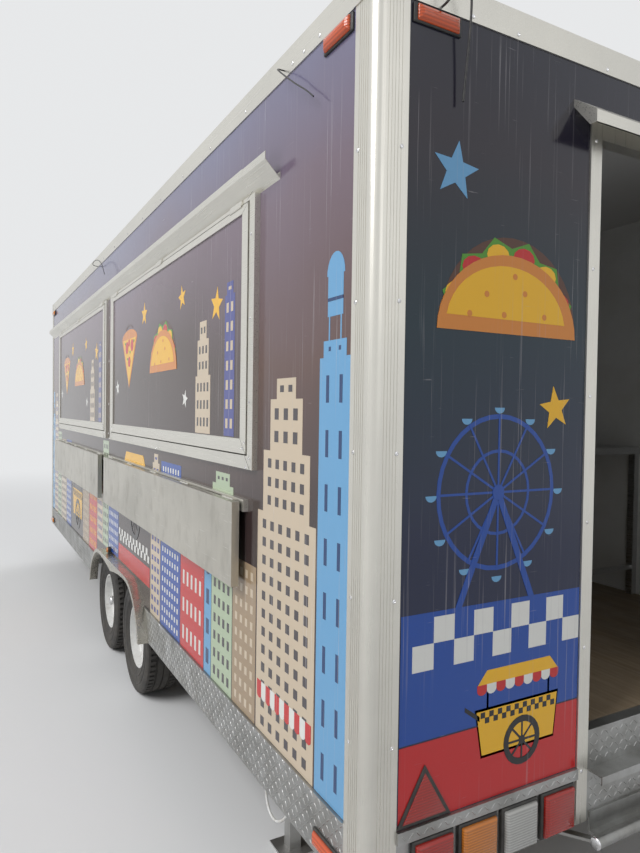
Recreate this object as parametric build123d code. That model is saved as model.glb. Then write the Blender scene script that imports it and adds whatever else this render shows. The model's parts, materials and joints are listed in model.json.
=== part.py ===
"""Tandem axle concession trailer: a serving box with two awning hatches, fold-down shelves,
a rear door, an A-frame drawbar with jack and coupler, and two sprung axles with four wheels.

Frame: x forward to the coupler, y to the left (the serving side), z up. Millimetres.
The origin is on the ground, under the middle of the whole trailer.
"""
import os
from math import asin, atan2, cos, degrees, hypot, pi, radians, sin, sqrt, tan

from build123d import *

# Box of the trailer
BOX_LENGTH = 6860.0
BOX_WIDTH = 2590.0
ROOM_HEIGHT = 2200.0
WALL = 40.0
FLOOR_THICKNESS = 25.0
ROOF_THICKNESS = 50.0
ROOF_CROWN = 18.0

# How far the coupler stands in front of the box
TONGUE_REACH = 1250.0

# Wheels and tyres
TYRE_RADIUS = 344.0
TYRE_WIDTH = 205.0
TYRE_WALL = 14.0
RIM_SEAT_RADIUS = 191.0
RIM_WIDTH = 164.0
RIM_SHEET = 4.5
TYRE_INSIDE_WALL_PLANE = 5.0
AXLE_SPREAD = 853.0
AXLE_MIDDLE_FROM_REAR = 3117.0

# Hub, spindle and axle
AXLE_TUBE_RADIUS = 38.0
SPINDLE_RADIUS = 20.0
SPINDLE_CLEARANCE = 0.4
HUB_RADIUS = 41.5
DRUM_RADIUS = 130.0
DRUM_WIDTH = 60.0
DRUM_GAP = 6.0
HAND_HOLES = 8
HAND_HOLE_RADIUS = 15.0

# Springs
SPRING_LENGTH = 640.0
SPRING_SAG = 50.0
SPRING_WIDTH = 44.0
LEAF = 8.0
LEAVES = 4
SEAT_PAD = 8.0
EYE_RADIUS = 17.0
PIN_RADIUS = 8.0
PIN_CLEARANCE = 0.3
HANGER_PLATE = 6.0
HANGER_WIDTH = 62.0
SPRING_INSIDE_TYRE = 160.0

# Chassis
FRAME_ABOVE_AXLE = 209.0
RAIL_HEIGHT = 150.0
RAIL_WIDTH = 50.0
RAIL_WEB = 6.0
RAIL_FLANGE = 8.0
CROSSMEMBER_HEIGHT = 75.0
CROSSMEMBER_WIDTH = 40.0
CROSSMEMBER_WALL = 5.0
CROSSMEMBER_PITCH = 610.0

# Drawbar, coupler and jack
DRAWBAR_HEIGHT = 100.0
DRAWBAR_WIDTH = 50.0
DRAWBAR_WALL = 6.0
DRAWBAR_UNDER_BOX = 850.0
APEX_HALF_GAP = 70.0
APEX_BEHIND_BALL = 150.0
APEX_PLATE = 10.0
APEX_PLATE_LENGTH = 420.0
CHAIN_HOLE_RADIUS = 9.0
CHAIN_HOLE_SPREAD = 220.0
CHAIN_HOLE_BEHIND_BALL = 400.0
BALL_SOCKET_RADIUS = 29.8
BALL_SOCKET_DEPTH = 34.0
BALL_HOUSING_RADIUS = 46.0
COUPLER_WIDTH = 84.0
JACK_BEHIND_BALL = 290.0
JACK_TUBE_RADIUS = 32.0
JACK_LEG_RADIUS = 25.0
JACK_FIT = 0.5
JACK_FOOT = 160.0

# Stabilizer legs under the rear
STABILIZER_FROM_REAR = 890.0
STABILIZER_OUT = 110.0
STABILIZER_TUBE = 50.0

# Wheel box, fender and skirt
WHEEL_BOX_CLEARANCE = 62.0
WHEEL_BOX_SHEET = 3.0
FENDER_OVER_TYRE = 47.0
FENDER_REACH = 60.0
FENDER_SHEET = 3.0
ARCH_OVER_TYRE = 22.0
ARCH_VALLEY = 40.0
FENDER_LAP = 14.0
SKIRT_DROP = 305.0
SKIRT_TOP_DROP = 113.0
SKIRT_SHEET = 3.0
SKIRT_LIP = 9.0

# Corner posts and roof rails
POST_FLANGE = 104.0
POST_SHEET = 3.0
POST_RADIUS = 30.0
POST_GROOVES = 5
POST_GROOVE_WIDTH = 3.0
POST_GROOVE_DEPTH = 1.0
RAIL_FACE = 81.0
RAIL_SHEET = 4.5
RAIL_TOP_LEG = 60.0
CORNER_CAP = 112.0
CORNER_CAP_SHEET = 6.0

# Serving hatches
HATCH_LENGTH = 2600.0
HATCH_HEIGHT = 1012.0
HATCH_GAP = 150.0
HATCH_SILL = 832.0
FRAME_BAND = 50.0
FRAME_TOP_BAND = 15.0
FRAME_PROUD = 22.0
FRAME_LINING = 4.0
FRAME_LAP = 30.0
SASH_GAP = 6.0
SASH_BAND = 56.0
SASH_TOP_BAND = 30.0
SASH_PROUD = 26.0
SASH_DEPTH = 45.0
SASH_PANEL = 22.0
SASH_PANEL_RECESS = 7.0
HINGE_PIN_RADIUS = 5.0
HINGE_CLEARANCE = 0.8
HINGE_LEAF = 3.0
HINGE_LENGTH = 120.0
HINGES = 3

# Rain gutter above the hatches
GUTTER_REACH = 58.0
GUTTER_LIP = 27.0
GUTTER_SHEET = 2.5
GUTTER_FLANGE = 25.0
GUTTER_REAR_OVERHANG = 168.0
GUTTER_FRONT_GAP = 180.0
GUTTER_LAP_FROM_END = 205.0
GUTTER_LAP_STEP = 5.0

# Fold-down shelves
SHELF_LENGTH = 2525.0
SHELF_DEPTH = 323.0
SHELF_THICKNESS = 30.0
SHELF_SHEET = 3.0
SHELF_STAND_OFF = 28.0
SHELF_UNDER_HATCH = 128.0
SHELF_SHIFT = 65.0
SHELF_RAIL_HEIGHT = 46.0
SHELF_RAIL_PROUD = 20.0
SHELF_HINGES = 5

# Rear doorway, door and step
DOOR_WIDTH = 830.0
DOOR_HEIGHT = 1952.0
JAMB = 51.0
JAMB_PROUD = 6.0
DOOR_LEAF = 40.0
DOOR_GAP = 6.0
DOOR_PIN_OUT = 4.0
DOOR_PIN_RADIUS = 6.0
DOOR_HINGES = 3
DOOR_HINGE_LENGTH = 110.0
CAP_HALF_LENGTH = 545.0
CAP_RISE = 65.0
CAP_REACH = 88.0
CAP_LIP = 37.0
CAP_SHEET = 2.5
CAP_ABOVE_HEAD = 104.0
STEP_REACH = 80.0
STEP_LEDGE = 65.0
STEP_LEDGE_DROP = 129.0
STEP_TUBE_RADIUS = 20.0
STEP_TUBE_LENGTH = 866.0

# Lamps
TAIL_LAMPS = 4
TAIL_LAMP_DEPTH = 30.0
TAIL_LAMP_GAP = 19.0
TAIL_LAMPS_FROM_POST = 50.0
TAIL_LAMPS_FROM_JAMB = 18.0
TRIM_HEIGHT = 36.0
TRIM_PROUD = 12.0
MARKER_LENGTH = 165.0
MARKER_HEIGHT = 52.0
MARKER_DEPTH = 24.0
MARKER_FROM_CORNER = 114.0
TRIANGLE_WIDTH = 192.0
TRIANGLE_HEIGHT = 162.0
TRIANGLE_DEPTH = 8.0
TRIANGLE_FROM_CORNER = 200.0
FENDER_LAMP_RADIUS = 22.0

# Inside
COUNTER_HEIGHT = 870.0
COUNTER_DEPTH = 600.0
COUNTER_TOP = 40.0
COUNTER_SHEET = 3.0
COUNTER_LEG = 40.0
COUNTER_BAR_HEIGHT = 150.0
COUNTER_FROM_REAR = 1000.0
COUNTER_FROM_FRONT = 560.0
BENCH_FROM_FRONT = 1500.0
SINK_LENGTH = 460.0
SINK_WIDTH = 400.0
SINK_DEPTH = 250.0
SINK_SHEET = 3.0

# Roof vent
VENT_SIZE = 400.0
VENT_CURB = 60.0
VENT_WALL = 20.0
VENT_SHEET = 4.0
VENT_LID = 18.0
VENT_LID_OVER = 12.0
VENT_GAP = 5.0
VENT_FROM_FRONT = 1700.0

# Cords: a drain hose under the floor and three cable tails. Their points are placed by hand
HOSE_RADIUS = 5.0
HOSE_FROM_WALL = 100.0
CABLE_RADIUS = 3.5
WIRE_RADIUS = 2.5
CORD_ARC_SHARE = 0.45
# ahead of the rear wall, height above the ground
HOSE_ROUTE = [
    (868, 703), (868, 600), (870, 480), (870, 360), (862, 276), (838, 229), (800, 211), (755, 219),
    (708, 250), (665, 300), (634, 370), (614, 450), (602, 550), (597, 640), (597, 703),
]
# out of the roof rail, inwards from the left corner, height above the ground
REAR_CABLE_ROUTE = [
    (0, 210, 2905), (26, 210, 2905), (46, 213, 2924), (49, 220, 2956), (47, 242, 2979), (42, 268, 2972),
    (38, 282, 2944), (34, 286, 2898), (28, 286, 2826), (20, 283, 2740), (14, 279, 2656),
]
# ahead of the rear wall, out of the roof rail, height above the ground
SIDE_WIRE_ROUTE = [
    (556, 0, 2922), (556, 18, 2922), (545, 32, 2914), (515, 40, 2893), (475, 40, 2862), (431, 36, 2827),
    (386, 31, 2793), (341, 27, 2762), (302, 23, 2728),
]
FRONT_WIRE_ROUTE = [
    (3957, 0, 2901), (3957, 22, 2901), (3945, 38, 2905), (3915, 47, 2909), (3865, 50, 2911), (3800, 50, 2909),
    (3732, 50, 2901), (3665, 49, 2887), (3600, 48, 2865), (3540, 47, 2834), (3486, 46, 2792), (3446, 44, 2745),
]

# Heights that follow from the wheels upwards
AXLE_Z = TYRE_RADIUS
RAIL_Z = AXLE_Z + FRAME_ABOVE_AXLE
RAIL_TOP_Z = RAIL_Z + RAIL_HEIGHT
FLOOR_Z = RAIL_TOP_Z + FLOOR_THICKNESS
CEILING_Z = FLOOR_Z + ROOM_HEIGHT
ROOF_Z = CEILING_Z + ROOF_THICKNESS
SKIRT_Z = FLOOR_Z - SKIRT_DROP
SKIRT_TOP_Z = FLOOR_Z - SKIRT_TOP_DROP
ROOF_RAIL_Z = ROOF_Z - RAIL_FACE

# Lengths and widths that follow
REAR_REACH = max(CAP_REACH, STEP_REACH)
WHOLE_LENGTH = REAR_REACH + BOX_LENGTH + TONGUE_REACH
REAR_X = REAR_REACH - WHOLE_LENGTH / 2
FRONT_X = REAR_X + BOX_LENGTH
HALF = BOX_WIDTH / 2
INNER = HALF - WALL
WHEEL_Y = HALF - TYRE_INSIDE_WALL_PLANE - TYRE_WIDTH / 2
TYRE_INNER_Y = WHEEL_Y - TYRE_WIDTH / 2
SPRING_Y = TYRE_INNER_Y - SPRING_INSIDE_TYRE
AXLE_MIDDLE_X = REAR_X + AXLE_MIDDLE_FROM_REAR
REAR_AXLE_X = AXLE_MIDDLE_X - AXLE_SPREAD / 2
FRONT_AXLE_X = AXLE_MIDDLE_X + AXLE_SPREAD / 2
WHEEL_BOX_REACH = AXLE_SPREAD / 2 + TYRE_RADIUS + WHEEL_BOX_CLEARANCE
WHEEL_BOX_Z = 2 * TYRE_RADIUS + WHEEL_BOX_CLEARANCE
WHEEL_BOX_Y = TYRE_INNER_Y - WHEEL_BOX_CLEARANCE / 2
FENDER_RADIUS = TYRE_RADIUS + FENDER_OVER_TYRE
FENDER_TOP_Z = AXLE_Z + FENDER_RADIUS
ARCH_RADIUS = TYRE_RADIUS + ARCH_OVER_TYRE
BALL_X = FRONT_X + TONGUE_REACH - BALL_HOUSING_RADIUS
DRAWBAR_Z = RAIL_Z - DRAWBAR_HEIGHT

# Hatches, shelves, door
HATCH_PITCH = HATCH_LENGTH + HATCH_GAP
HATCH_Z = FLOOR_Z + HATCH_SILL
HATCH_TOP_Z = HATCH_Z + HATCH_HEIGHT
HATCH_CENTRES = {
    "rear": REAR_X + BOX_LENGTH / 2 - HATCH_PITCH / 2,
    "front": REAR_X + BOX_LENGTH / 2 + HATCH_PITCH / 2,
}
SASH_TOP_Z = HATCH_TOP_Z - FRAME_TOP_BAND - SASH_GAP
SASH_Z = HATCH_Z + FRAME_BAND + SASH_GAP
SASH_HALF = HATCH_LENGTH / 2 - FRAME_BAND - SASH_GAP
SASH_Y = HALF + SASH_PROUD
SHELF_TOP_Z = HATCH_Z - SHELF_UNDER_HATCH
SHELF_Y = HALF + SHELF_STAND_OFF
DOOR_HALF = DOOR_WIDTH / 2
DOOR_HEAD_Z = FLOOR_Z + DOOR_HEIGHT
DOOR_PIN_X = REAR_X - JAMB_PROUD - DOOR_PIN_OUT
DOOR_PIN_Y = -DOOR_HALF + DOOR_GAP / 2

# The row of tail lamps fills the rear skirt between the corner post and the door jamb
TAIL_LAMPS_LEFT_Y = HALF - POST_FLANGE - TAIL_LAMPS_FROM_POST
TAIL_LAMPS_ROOM = TAIL_LAMPS_LEFT_Y - DOOR_HALF - JAMB - TAIL_LAMPS_FROM_JAMB
TAIL_LAMP = (TAIL_LAMPS_ROOM + TAIL_LAMP_GAP) / TAIL_LAMPS - TAIL_LAMP_GAP

# Wheels: name, axle place, side (1 is left)
WHEELS = [
    ("front_left", FRONT_AXLE_X, 1),
    ("rear_left", REAR_AXLE_X, 1),
    ("front_right", FRONT_AXLE_X, -1),
    ("rear_right", REAR_AXLE_X, -1),
]


def block(x0, x1, y0, y1, z0, z1):
    """A box between two corners."""
    middle = Pos((x0 + x1) / 2, (y0 + y1) / 2, (z0 + z1) / 2)
    return middle * Box(x1 - x0, y1 - y0, z1 - z0)


def run_along_x(points, x0, x1):
    """A profile of (y, z) points, drawn out along x."""
    face = make_face(Polyline(*points, close=True))
    return extrude(Plane.YZ.offset(x0) * face, amount=x1 - x0)


def run_along_y(face, y0, y1):
    """A face drawn in x and z, drawn out along y."""
    plane = Plane(origin=(0, y1, 0), x_dir=(1, 0, 0), z_dir=(0, -1, 0))
    return extrude(plane * face, amount=y1 - y0)


def run_along_z(points, z0, z1):
    """A profile of (x, y) points, drawn out along z."""
    face = make_face(Polyline(*points, close=True))
    return extrude(Plane.XY.offset(z0) * face, amount=z1 - z0)


def rod_along_y(radius, x, z, y0, y1):
    return Pos(x, (y0 + y1) / 2, z) * Rot(90, 0, 0) * Cylinder(radius, y1 - y0)


def rod_along_x(radius, y, z, x0, x1):
    return Pos((x0 + x1) / 2, y, z) * Rot(0, 90, 0) * Cylinder(radius, x1 - x0)


def rod_along_z(radius, x, y, z0, z1):
    return Pos(x, y, (z0 + z1) / 2) * Cylinder(radius, z1 - z0)


def right_of(shape):
    """The same piece on the other side of the trailer."""
    return mirror(shape, about=Plane.XZ)


def pair(shape):
    """A piece and its twin on the other side, as two solids."""
    return [shape, right_of(shape)]


def spread(count, first, last):
    """Places from first to last, evenly apart."""
    return [first + (last - first) * i / (count - 1) for i in range(count)]


# Chassis

def main_rails():
    """Two steel channels along the trailer, their webs inwards."""
    y_in = SPRING_Y - RAIL_WIDTH / 2
    y_out = SPRING_Y + RAIL_WIDTH / 2
    points = [
        (y_in, RAIL_Z), (y_out, RAIL_Z), (y_out, RAIL_Z + RAIL_FLANGE),
        (y_in + RAIL_WEB, RAIL_Z + RAIL_FLANGE), (y_in + RAIL_WEB, RAIL_TOP_Z - RAIL_FLANGE),
        (y_out, RAIL_TOP_Z - RAIL_FLANGE), (y_out, RAIL_TOP_Z), (y_in, RAIL_TOP_Z),
    ]
    rail = run_along_x(points, REAR_X + WALL, FRONT_X - WALL)
    return pair(rail)


def channel_across(x, y0, y1):
    """One cross member: a channel lying across the trailer, open to the rear."""
    z0 = RAIL_TOP_Z - CROSSMEMBER_HEIGHT
    x1 = x + CROSSMEMBER_WIDTH
    web = block(x1 - CROSSMEMBER_WALL, x1, y0, y1, z0, RAIL_TOP_Z)
    top = block(x, x1, y0, y1, RAIL_TOP_Z - CROSSMEMBER_WALL, RAIL_TOP_Z)
    foot = block(x, x1, y0, y1, z0, z0 + CROSSMEMBER_WALL)
    return web + top + foot


def crossmember_places():
    """Rear edge of each cross member."""
    first = REAR_X + WALL
    last = FRONT_X - WALL - CROSSMEMBER_WIDTH
    count = round((last - first) / CROSSMEMBER_PITCH) + 1
    return spread(count, first, last)


def crossmembers():
    """Members between the rails, and outriggers from the rails to the side walls."""
    y_in = SPRING_Y - RAIL_WIDTH / 2
    y_out = SPRING_Y + RAIL_WIDTH / 2
    pieces = []
    for x in crossmember_places():
        pieces.append(channel_across(x, -y_in, y_in))
        middle = x + CROSSMEMBER_WIDTH / 2
        if abs(middle - AXLE_MIDDLE_X) > WHEEL_BOX_REACH + CROSSMEMBER_WIDTH:
            pieces += pair(channel_across(x, y_out, INNER))
    return pieces


def floor_panel():
    """The plywood floor, notched round the wheel boxes."""
    panel = block(REAR_X + WALL, FRONT_X - WALL, -INNER, INNER, RAIL_TOP_Z, FLOOR_Z)
    notch = block(
        AXLE_MIDDLE_X - WHEEL_BOX_REACH, AXLE_MIDDLE_X + WHEEL_BOX_REACH,
        WHEEL_BOX_Y, HALF, RAIL_Z, CEILING_Z)
    for cut in pair(notch):
        panel -= cut
    return [panel]


def wheel_boxes():
    """Sheet boxes over the tyres, open below and to the outside."""
    x0 = AXLE_MIDDLE_X - WHEEL_BOX_REACH
    x1 = AXLE_MIDDLE_X + WHEEL_BOX_REACH
    outer = block(x0, x1, WHEEL_BOX_Y, INNER, RAIL_Z, WHEEL_BOX_Z)
    hollow = block(
        x0 + WHEEL_BOX_SHEET, x1 - WHEEL_BOX_SHEET,
        WHEEL_BOX_Y + WHEEL_BOX_SHEET, INNER, RAIL_Z, WHEEL_BOX_Z - WHEEL_BOX_SHEET)
    return pair(outer - hollow)


def slanted_channel(x0, y0, x1, y1):
    """One arm of the drawbar, a channel with its web outwards."""
    length = hypot(x1 - x0, y1 - y0)
    half = DRAWBAR_WIDTH / 2
    tall = DRAWBAR_HEIGHT
    web = Pos(0, half - DRAWBAR_WALL / 2, tall / 2) * Box(length, DRAWBAR_WALL, tall)
    foot = Pos(0, 0, DRAWBAR_WALL / 2) * Box(length, DRAWBAR_WIDTH, DRAWBAR_WALL)
    top = Pos(0, 0, tall - DRAWBAR_WALL / 2) * Box(length, DRAWBAR_WIDTH, DRAWBAR_WALL)
    arm = web + foot + top
    turn = degrees(atan2(y1 - y0, x1 - x0))
    return Pos((x0 + x1) / 2, (y0 + y1) / 2, DRAWBAR_Z) * Rot(0, 0, turn) * arm


def drawbar_half_width(x):
    """Distance from the middle to the centre line of an arm of the drawbar."""
    apex_x = BALL_X - APEX_BEHIND_BALL
    back_x = FRONT_X - DRAWBAR_UNDER_BOX
    back_y = SPRING_Y - DRAWBAR_WIDTH / 2
    return APEX_HALF_GAP + (back_y - APEX_HALF_GAP) * (apex_x - x) / (apex_x - back_x)


def drawbar():
    """The A-frame: two arms, with a plate over their front ends."""
    apex_x = BALL_X - APEX_BEHIND_BALL
    start_x = FRONT_X - DRAWBAR_UNDER_BOX
    arm = slanted_channel(start_x, drawbar_half_width(start_x), apex_x, APEX_HALF_GAP)
    back_x = apex_x - APEX_PLATE_LENGTH
    wide = drawbar_half_width(back_x)
    points = [(back_x, -wide), (apex_x, -APEX_HALF_GAP), (apex_x, APEX_HALF_GAP), (back_x, wide)]
    plate = run_along_z(points, RAIL_Z, RAIL_Z + APEX_PLATE)
    plate -= rod_along_z(JACK_TUBE_RADIUS + JACK_FIT, BALL_X - JACK_BEHIND_BALL, 0,
                         RAIL_Z - 1, RAIL_Z + APEX_PLATE + 1)
    for y in (-CHAIN_HOLE_SPREAD / 2, CHAIN_HOLE_SPREAD / 2):
        plate -= rod_along_z(CHAIN_HOLE_RADIUS, BALL_X - CHAIN_HOLE_BEHIND_BALL, y,
                             RAIL_Z - 1, RAIL_Z + APEX_PLATE + 1)
    return [arm + right_of(arm) + plate]


def coupler():
    """The cast coupler between the ends of the drawbar, with its ball socket and latch."""
    z_top = RAIL_Z
    z_low = DRAWBAR_Z + 10
    half = COUPLER_WIDTH / 2
    tail_x = BALL_X - APEX_BEHIND_BALL
    body = block(tail_x, BALL_X, -half, half, z_low + 30, z_top)
    body += rod_along_z(BALL_HOUSING_RADIUS, BALL_X, 0, z_low, z_top)
    body -= rod_along_z(BALL_SOCKET_RADIUS, BALL_X, 0, z_low - 1, z_low + BALL_SOCKET_DEPTH)
    latch = block(BALL_X - 70, BALL_X + 10, -9, 9, z_top, z_top + 26)
    lever = block(BALL_X - 120, BALL_X - 56, -9, 9, z_top + 20, z_top + 32)
    return [body + latch + lever]


def crank_jack():
    """The crank jack that holds the drawbar up: tube, leg, foot plate, gear head and crank."""
    x = BALL_X - JACK_BEHIND_BALL
    top = RAIL_Z + 330
    jack = rod_along_z(JACK_TUBE_RADIUS, x, 0, 260, top)
    jack += rod_along_z(JACK_LEG_RADIUS, x, 0, 8, 260)
    jack += block(x - JACK_FOOT / 2, x + JACK_FOOT / 2, -JACK_FOOT / 2, JACK_FOOT / 2, 0, 8)
    jack += rod_along_z(62, x, 0, RAIL_Z + APEX_PLATE, RAIL_Z + APEX_PLATE + 10)
    jack += rod_along_z(40, x, 0, top, top + 34)
    jack += rod_along_y(8, x, top + 17, 36, 74)
    jack += block(x - 9, x + 9, 66, 74, top - 110, top + 26)
    jack += rod_along_y(13, x, top - 96, 74, 160)
    return jack


def drop_leg():
    """A leg under the rear of the left rail, with its foot plate on the ground."""
    x = REAR_X + STABILIZER_FROM_REAR
    y = SPRING_Y + RAIL_WIDTH / 2 + STABILIZER_OUT
    half = STABILIZER_TUBE / 2
    leg = block(x - half, x + half, y - half, y + half, 8, RAIL_Z + 60)
    leg += block(x - half - 8, x + half + 8, y - half - 8, y + half + 8, RAIL_Z - 220, RAIL_Z + 40)
    leg += block(x - 70, x + 70, y - 70, y + 70, 0, 8)
    bracket = block(x - half, x + half, SPRING_Y + RAIL_WIDTH / 2, y, RAIL_Z - 20, RAIL_Z + 40)
    return leg + bracket


def jacks():
    """What the trailer stands on besides its tyres: the crank jack and two drop legs."""
    return [crank_jack()] + pair(drop_leg())


# Axles, springs and wheels

def axles():
    """Two tubes, each with spring pads, backing plates and spindles."""
    plate_y = WHEEL_Y - DRUM_WIDTH - 2 - DRUM_GAP
    pieces = []
    for x in (REAR_AXLE_X, FRONT_AXLE_X):
        axle = rod_along_y(AXLE_TUBE_RADIUS, x, AXLE_Z, -plate_y + 4, plate_y - 4)
        for side in (-1, 1):
            inner, outer = sorted((side * (plate_y - 4), side * plate_y))
            axle += rod_along_y(DRUM_RADIUS - 2, x, AXLE_Z, inner, outer)
            inner, outer = sorted((side * (plate_y - 4), side * (WHEEL_Y + 34)))
            axle += rod_along_y(SPINDLE_RADIUS, x, AXLE_Z, inner, outer)
            half = SPRING_WIDTH / 2
            pad_top = AXLE_Z + AXLE_TUBE_RADIUS + SEAT_PAD
            axle += block(x - 40, x + 40, side * SPRING_Y - half, side * SPRING_Y + half,
                          AXLE_Z, pad_top)
        pieces.append(axle)
    return pieces


SPRING_BEND = (SPRING_LENGTH ** 2 / 4 + SPRING_SAG ** 2) / (2 * SPRING_SAG)
SPRING_SEAT_Z = AXLE_Z + AXLE_TUBE_RADIUS + SEAT_PAD
SPRING_CENTRE_Z = SPRING_SEAT_Z + LEAF * LEAVES + SPRING_BEND
SPRING_HALF_ANGLE = asin(SPRING_LENGTH / 2 / SPRING_BEND)
EYE_Z = SPRING_CENTRE_Z - SPRING_BEND * cos(SPRING_HALF_ANGLE) + EYE_RADIUS - LEAF


def bent_leaf(x, radius_in, radius_out, half_angle):
    """One leaf seen from the side, between two arcs round the same centre."""
    def place(radius, angle):
        return (x + radius * sin(angle), SPRING_CENTRE_Z - radius * cos(angle))
    a = place(radius_out, -half_angle)
    b = place(radius_out, half_angle)
    c = place(radius_in, half_angle)
    d = place(radius_in, -half_angle)
    return make_face([
        ThreePointArc(a, place(radius_out, 0), b),
        Line(b, c),
        ThreePointArc(c, place(radius_in, 0), d),
        Line(d, a),
    ])


def leaf_spring(x, y):
    """A pack of leaves, each shorter than the one above, with an eye at both ends."""
    y0 = y - SPRING_WIDTH / 2
    y1 = y + SPRING_WIDTH / 2
    spring = None
    for i in range(LEAVES):
        inner = SPRING_BEND + LEAF * i
        half_angle = SPRING_HALF_ANGLE * (1 - 0.24 * i)
        leaf = run_along_y(bent_leaf(x, inner, inner + LEAF, half_angle), y0, y1)
        spring = leaf if spring is None else spring + leaf
    for end in (-1, 1):
        eye_x = x + end * SPRING_LENGTH / 2
        spring += rod_along_y(EYE_RADIUS, eye_x, EYE_Z, y0, y1)
        spring -= rod_along_y(PIN_RADIUS + PIN_CLEARANCE, eye_x, EYE_Z, y0 - 1, y1 + 1)
    return spring


def leaf_springs():
    return [leaf_spring(x, side * SPRING_Y) for x in (REAR_AXLE_X, FRONT_AXLE_X) for side in (1, -1)]


def spring_hangers():
    """Hangers under the rails: one at each outer eye and one for the equalizer between."""
    half = SPRING_WIDTH / 2 + 1
    low = EYE_Z - EYE_RADIUS - 4
    pieces = []
    outer_eyes = (REAR_AXLE_X - SPRING_LENGTH / 2, FRONT_AXLE_X + SPRING_LENGTH / 2)
    for x in outer_eyes:
        x0 = x - HANGER_WIDTH / 2
        x1 = x + HANGER_WIDTH / 2
        top = block(x0, x1, SPRING_Y - half - HANGER_PLATE, SPRING_Y + half + HANGER_PLATE,
                    RAIL_Z - HANGER_PLATE, RAIL_Z)
        cheek_in = block(x0, x1, SPRING_Y - half - HANGER_PLATE, SPRING_Y - half, low, RAIL_Z)
        cheek_out = block(x0, x1, SPRING_Y + half, SPRING_Y + half + HANGER_PLATE, low, RAIL_Z)
        pin = rod_along_y(PIN_RADIUS, x, EYE_Z, SPRING_Y - half, SPRING_Y + half)
        pieces += pair(top + cheek_in + cheek_out + pin)
    x = AXLE_MIDDLE_X
    post = block(x - 26, x + 26, SPRING_Y - half, SPRING_Y + half, EYE_Z - 16, RAIL_Z)
    post -= rod_along_y(PIN_RADIUS + PIN_CLEARANCE, x, EYE_Z + 8, SPRING_Y - half - 1, SPRING_Y + half + 1)
    pieces += pair(post)
    return pieces + equalizers()


def equalizers():
    """The rocking links that join the two springs of a side."""
    half = SPRING_WIDTH / 2 + 1 + PIN_CLEARANCE
    out = half + HANGER_PLATE
    eye = (AXLE_SPREAD - SPRING_LENGTH) / 2
    x = AXLE_MIDDLE_X
    low = EYE_Z - 18
    high = EYE_Z + 24
    link = block(x - eye - 20, x + eye + 20, SPRING_Y - out, SPRING_Y - half, low, high)
    link += block(x - eye - 20, x + eye + 20, SPRING_Y + half, SPRING_Y + out, low, high)
    for pin_x, pin_z in ((x - eye, EYE_Z), (x, EYE_Z + 8), (x + eye, EYE_Z)):
        link += rod_along_y(PIN_RADIUS, pin_x, pin_z, SPRING_Y - out, SPRING_Y + out)
    return pair(link)


def turned(face):
    """A face of (y, z) points turned round the y axis."""
    return revolve(Plane.YZ * face, axis=Axis.Y)


def tyre_section():
    """Half of a tyre cut across: bead, bulged sidewall, shoulder and tread, open at the rim."""
    half = TYRE_WIDTH / 2
    bead = RIM_SEAT_RADIUS + 1
    bead_out = RIM_WIDTH / 2 - 6
    flange = bead + 18
    belly = (bead + TYRE_RADIUS) / 2
    shoulder = half - 18
    wall = TYRE_WALL
    crown = TYRE_RADIUS - 14 - wall
    outside = [
        Line((bead_out, bead), (bead_out, flange)),
        ThreePointArc((bead_out, flange), (half, belly + 4), (shoulder, TYRE_RADIUS - 14)),
        ThreePointArc((shoulder, TYRE_RADIUS - 14), (shoulder - 6, TYRE_RADIUS - 5),
                      (shoulder - 22, TYRE_RADIUS - 1)),
        ThreePointArc((shoulder - 22, TYRE_RADIUS - 1), (0, TYRE_RADIUS), (22 - shoulder, TYRE_RADIUS - 1)),
        ThreePointArc((22 - shoulder, TYRE_RADIUS - 1), (6 - shoulder, TYRE_RADIUS - 5),
                      (-shoulder, TYRE_RADIUS - 14)),
        ThreePointArc((-shoulder, TYRE_RADIUS - 14), (-half, belly + 4), (-bead_out, flange)),
        Line((-bead_out, flange), (-bead_out, bead)),
    ]
    inside = [
        Line((-bead_out, bead), (wall - bead_out, bead)),
        ThreePointArc((wall - bead_out, bead), (wall - half, belly), (wall - shoulder, crown)),
        Line((wall - shoulder, crown), (shoulder - wall, crown)),
        ThreePointArc((shoulder - wall, crown), (half - wall, belly), (bead_out - wall, bead)),
        Line((bead_out - wall, bead), (bead_out, bead)),
    ]
    return make_face(outside + inside)


def tyre(x, side):
    return [Pos(x, side * WHEEL_Y, AXLE_Z) * turned(tyre_section())]


def rim_section():
    """The rim cut across: two flanges, two bead seats and the well between them."""
    half = RIM_WIDTH / 2
    seat = RIM_SEAT_RADIUS
    top = seat + 17
    well = seat - 19
    sheet = RIM_SHEET
    points = [
        (-half, top), (5 - half, top), (5 - half, seat), (32 - half, seat), (40 - half, well),
        (half - 60, well), (half - 52, seat), (half - 5, seat), (half - 5, top), (half, top),
        (half, seat - sheet), (half - 49, seat - sheet), (half - 57, well - sheet),
        (37 - half, well - sheet), (29 - half, seat - sheet), (-half, seat - sheet),
    ]
    return make_face(Polyline(*points, close=True))


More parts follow.
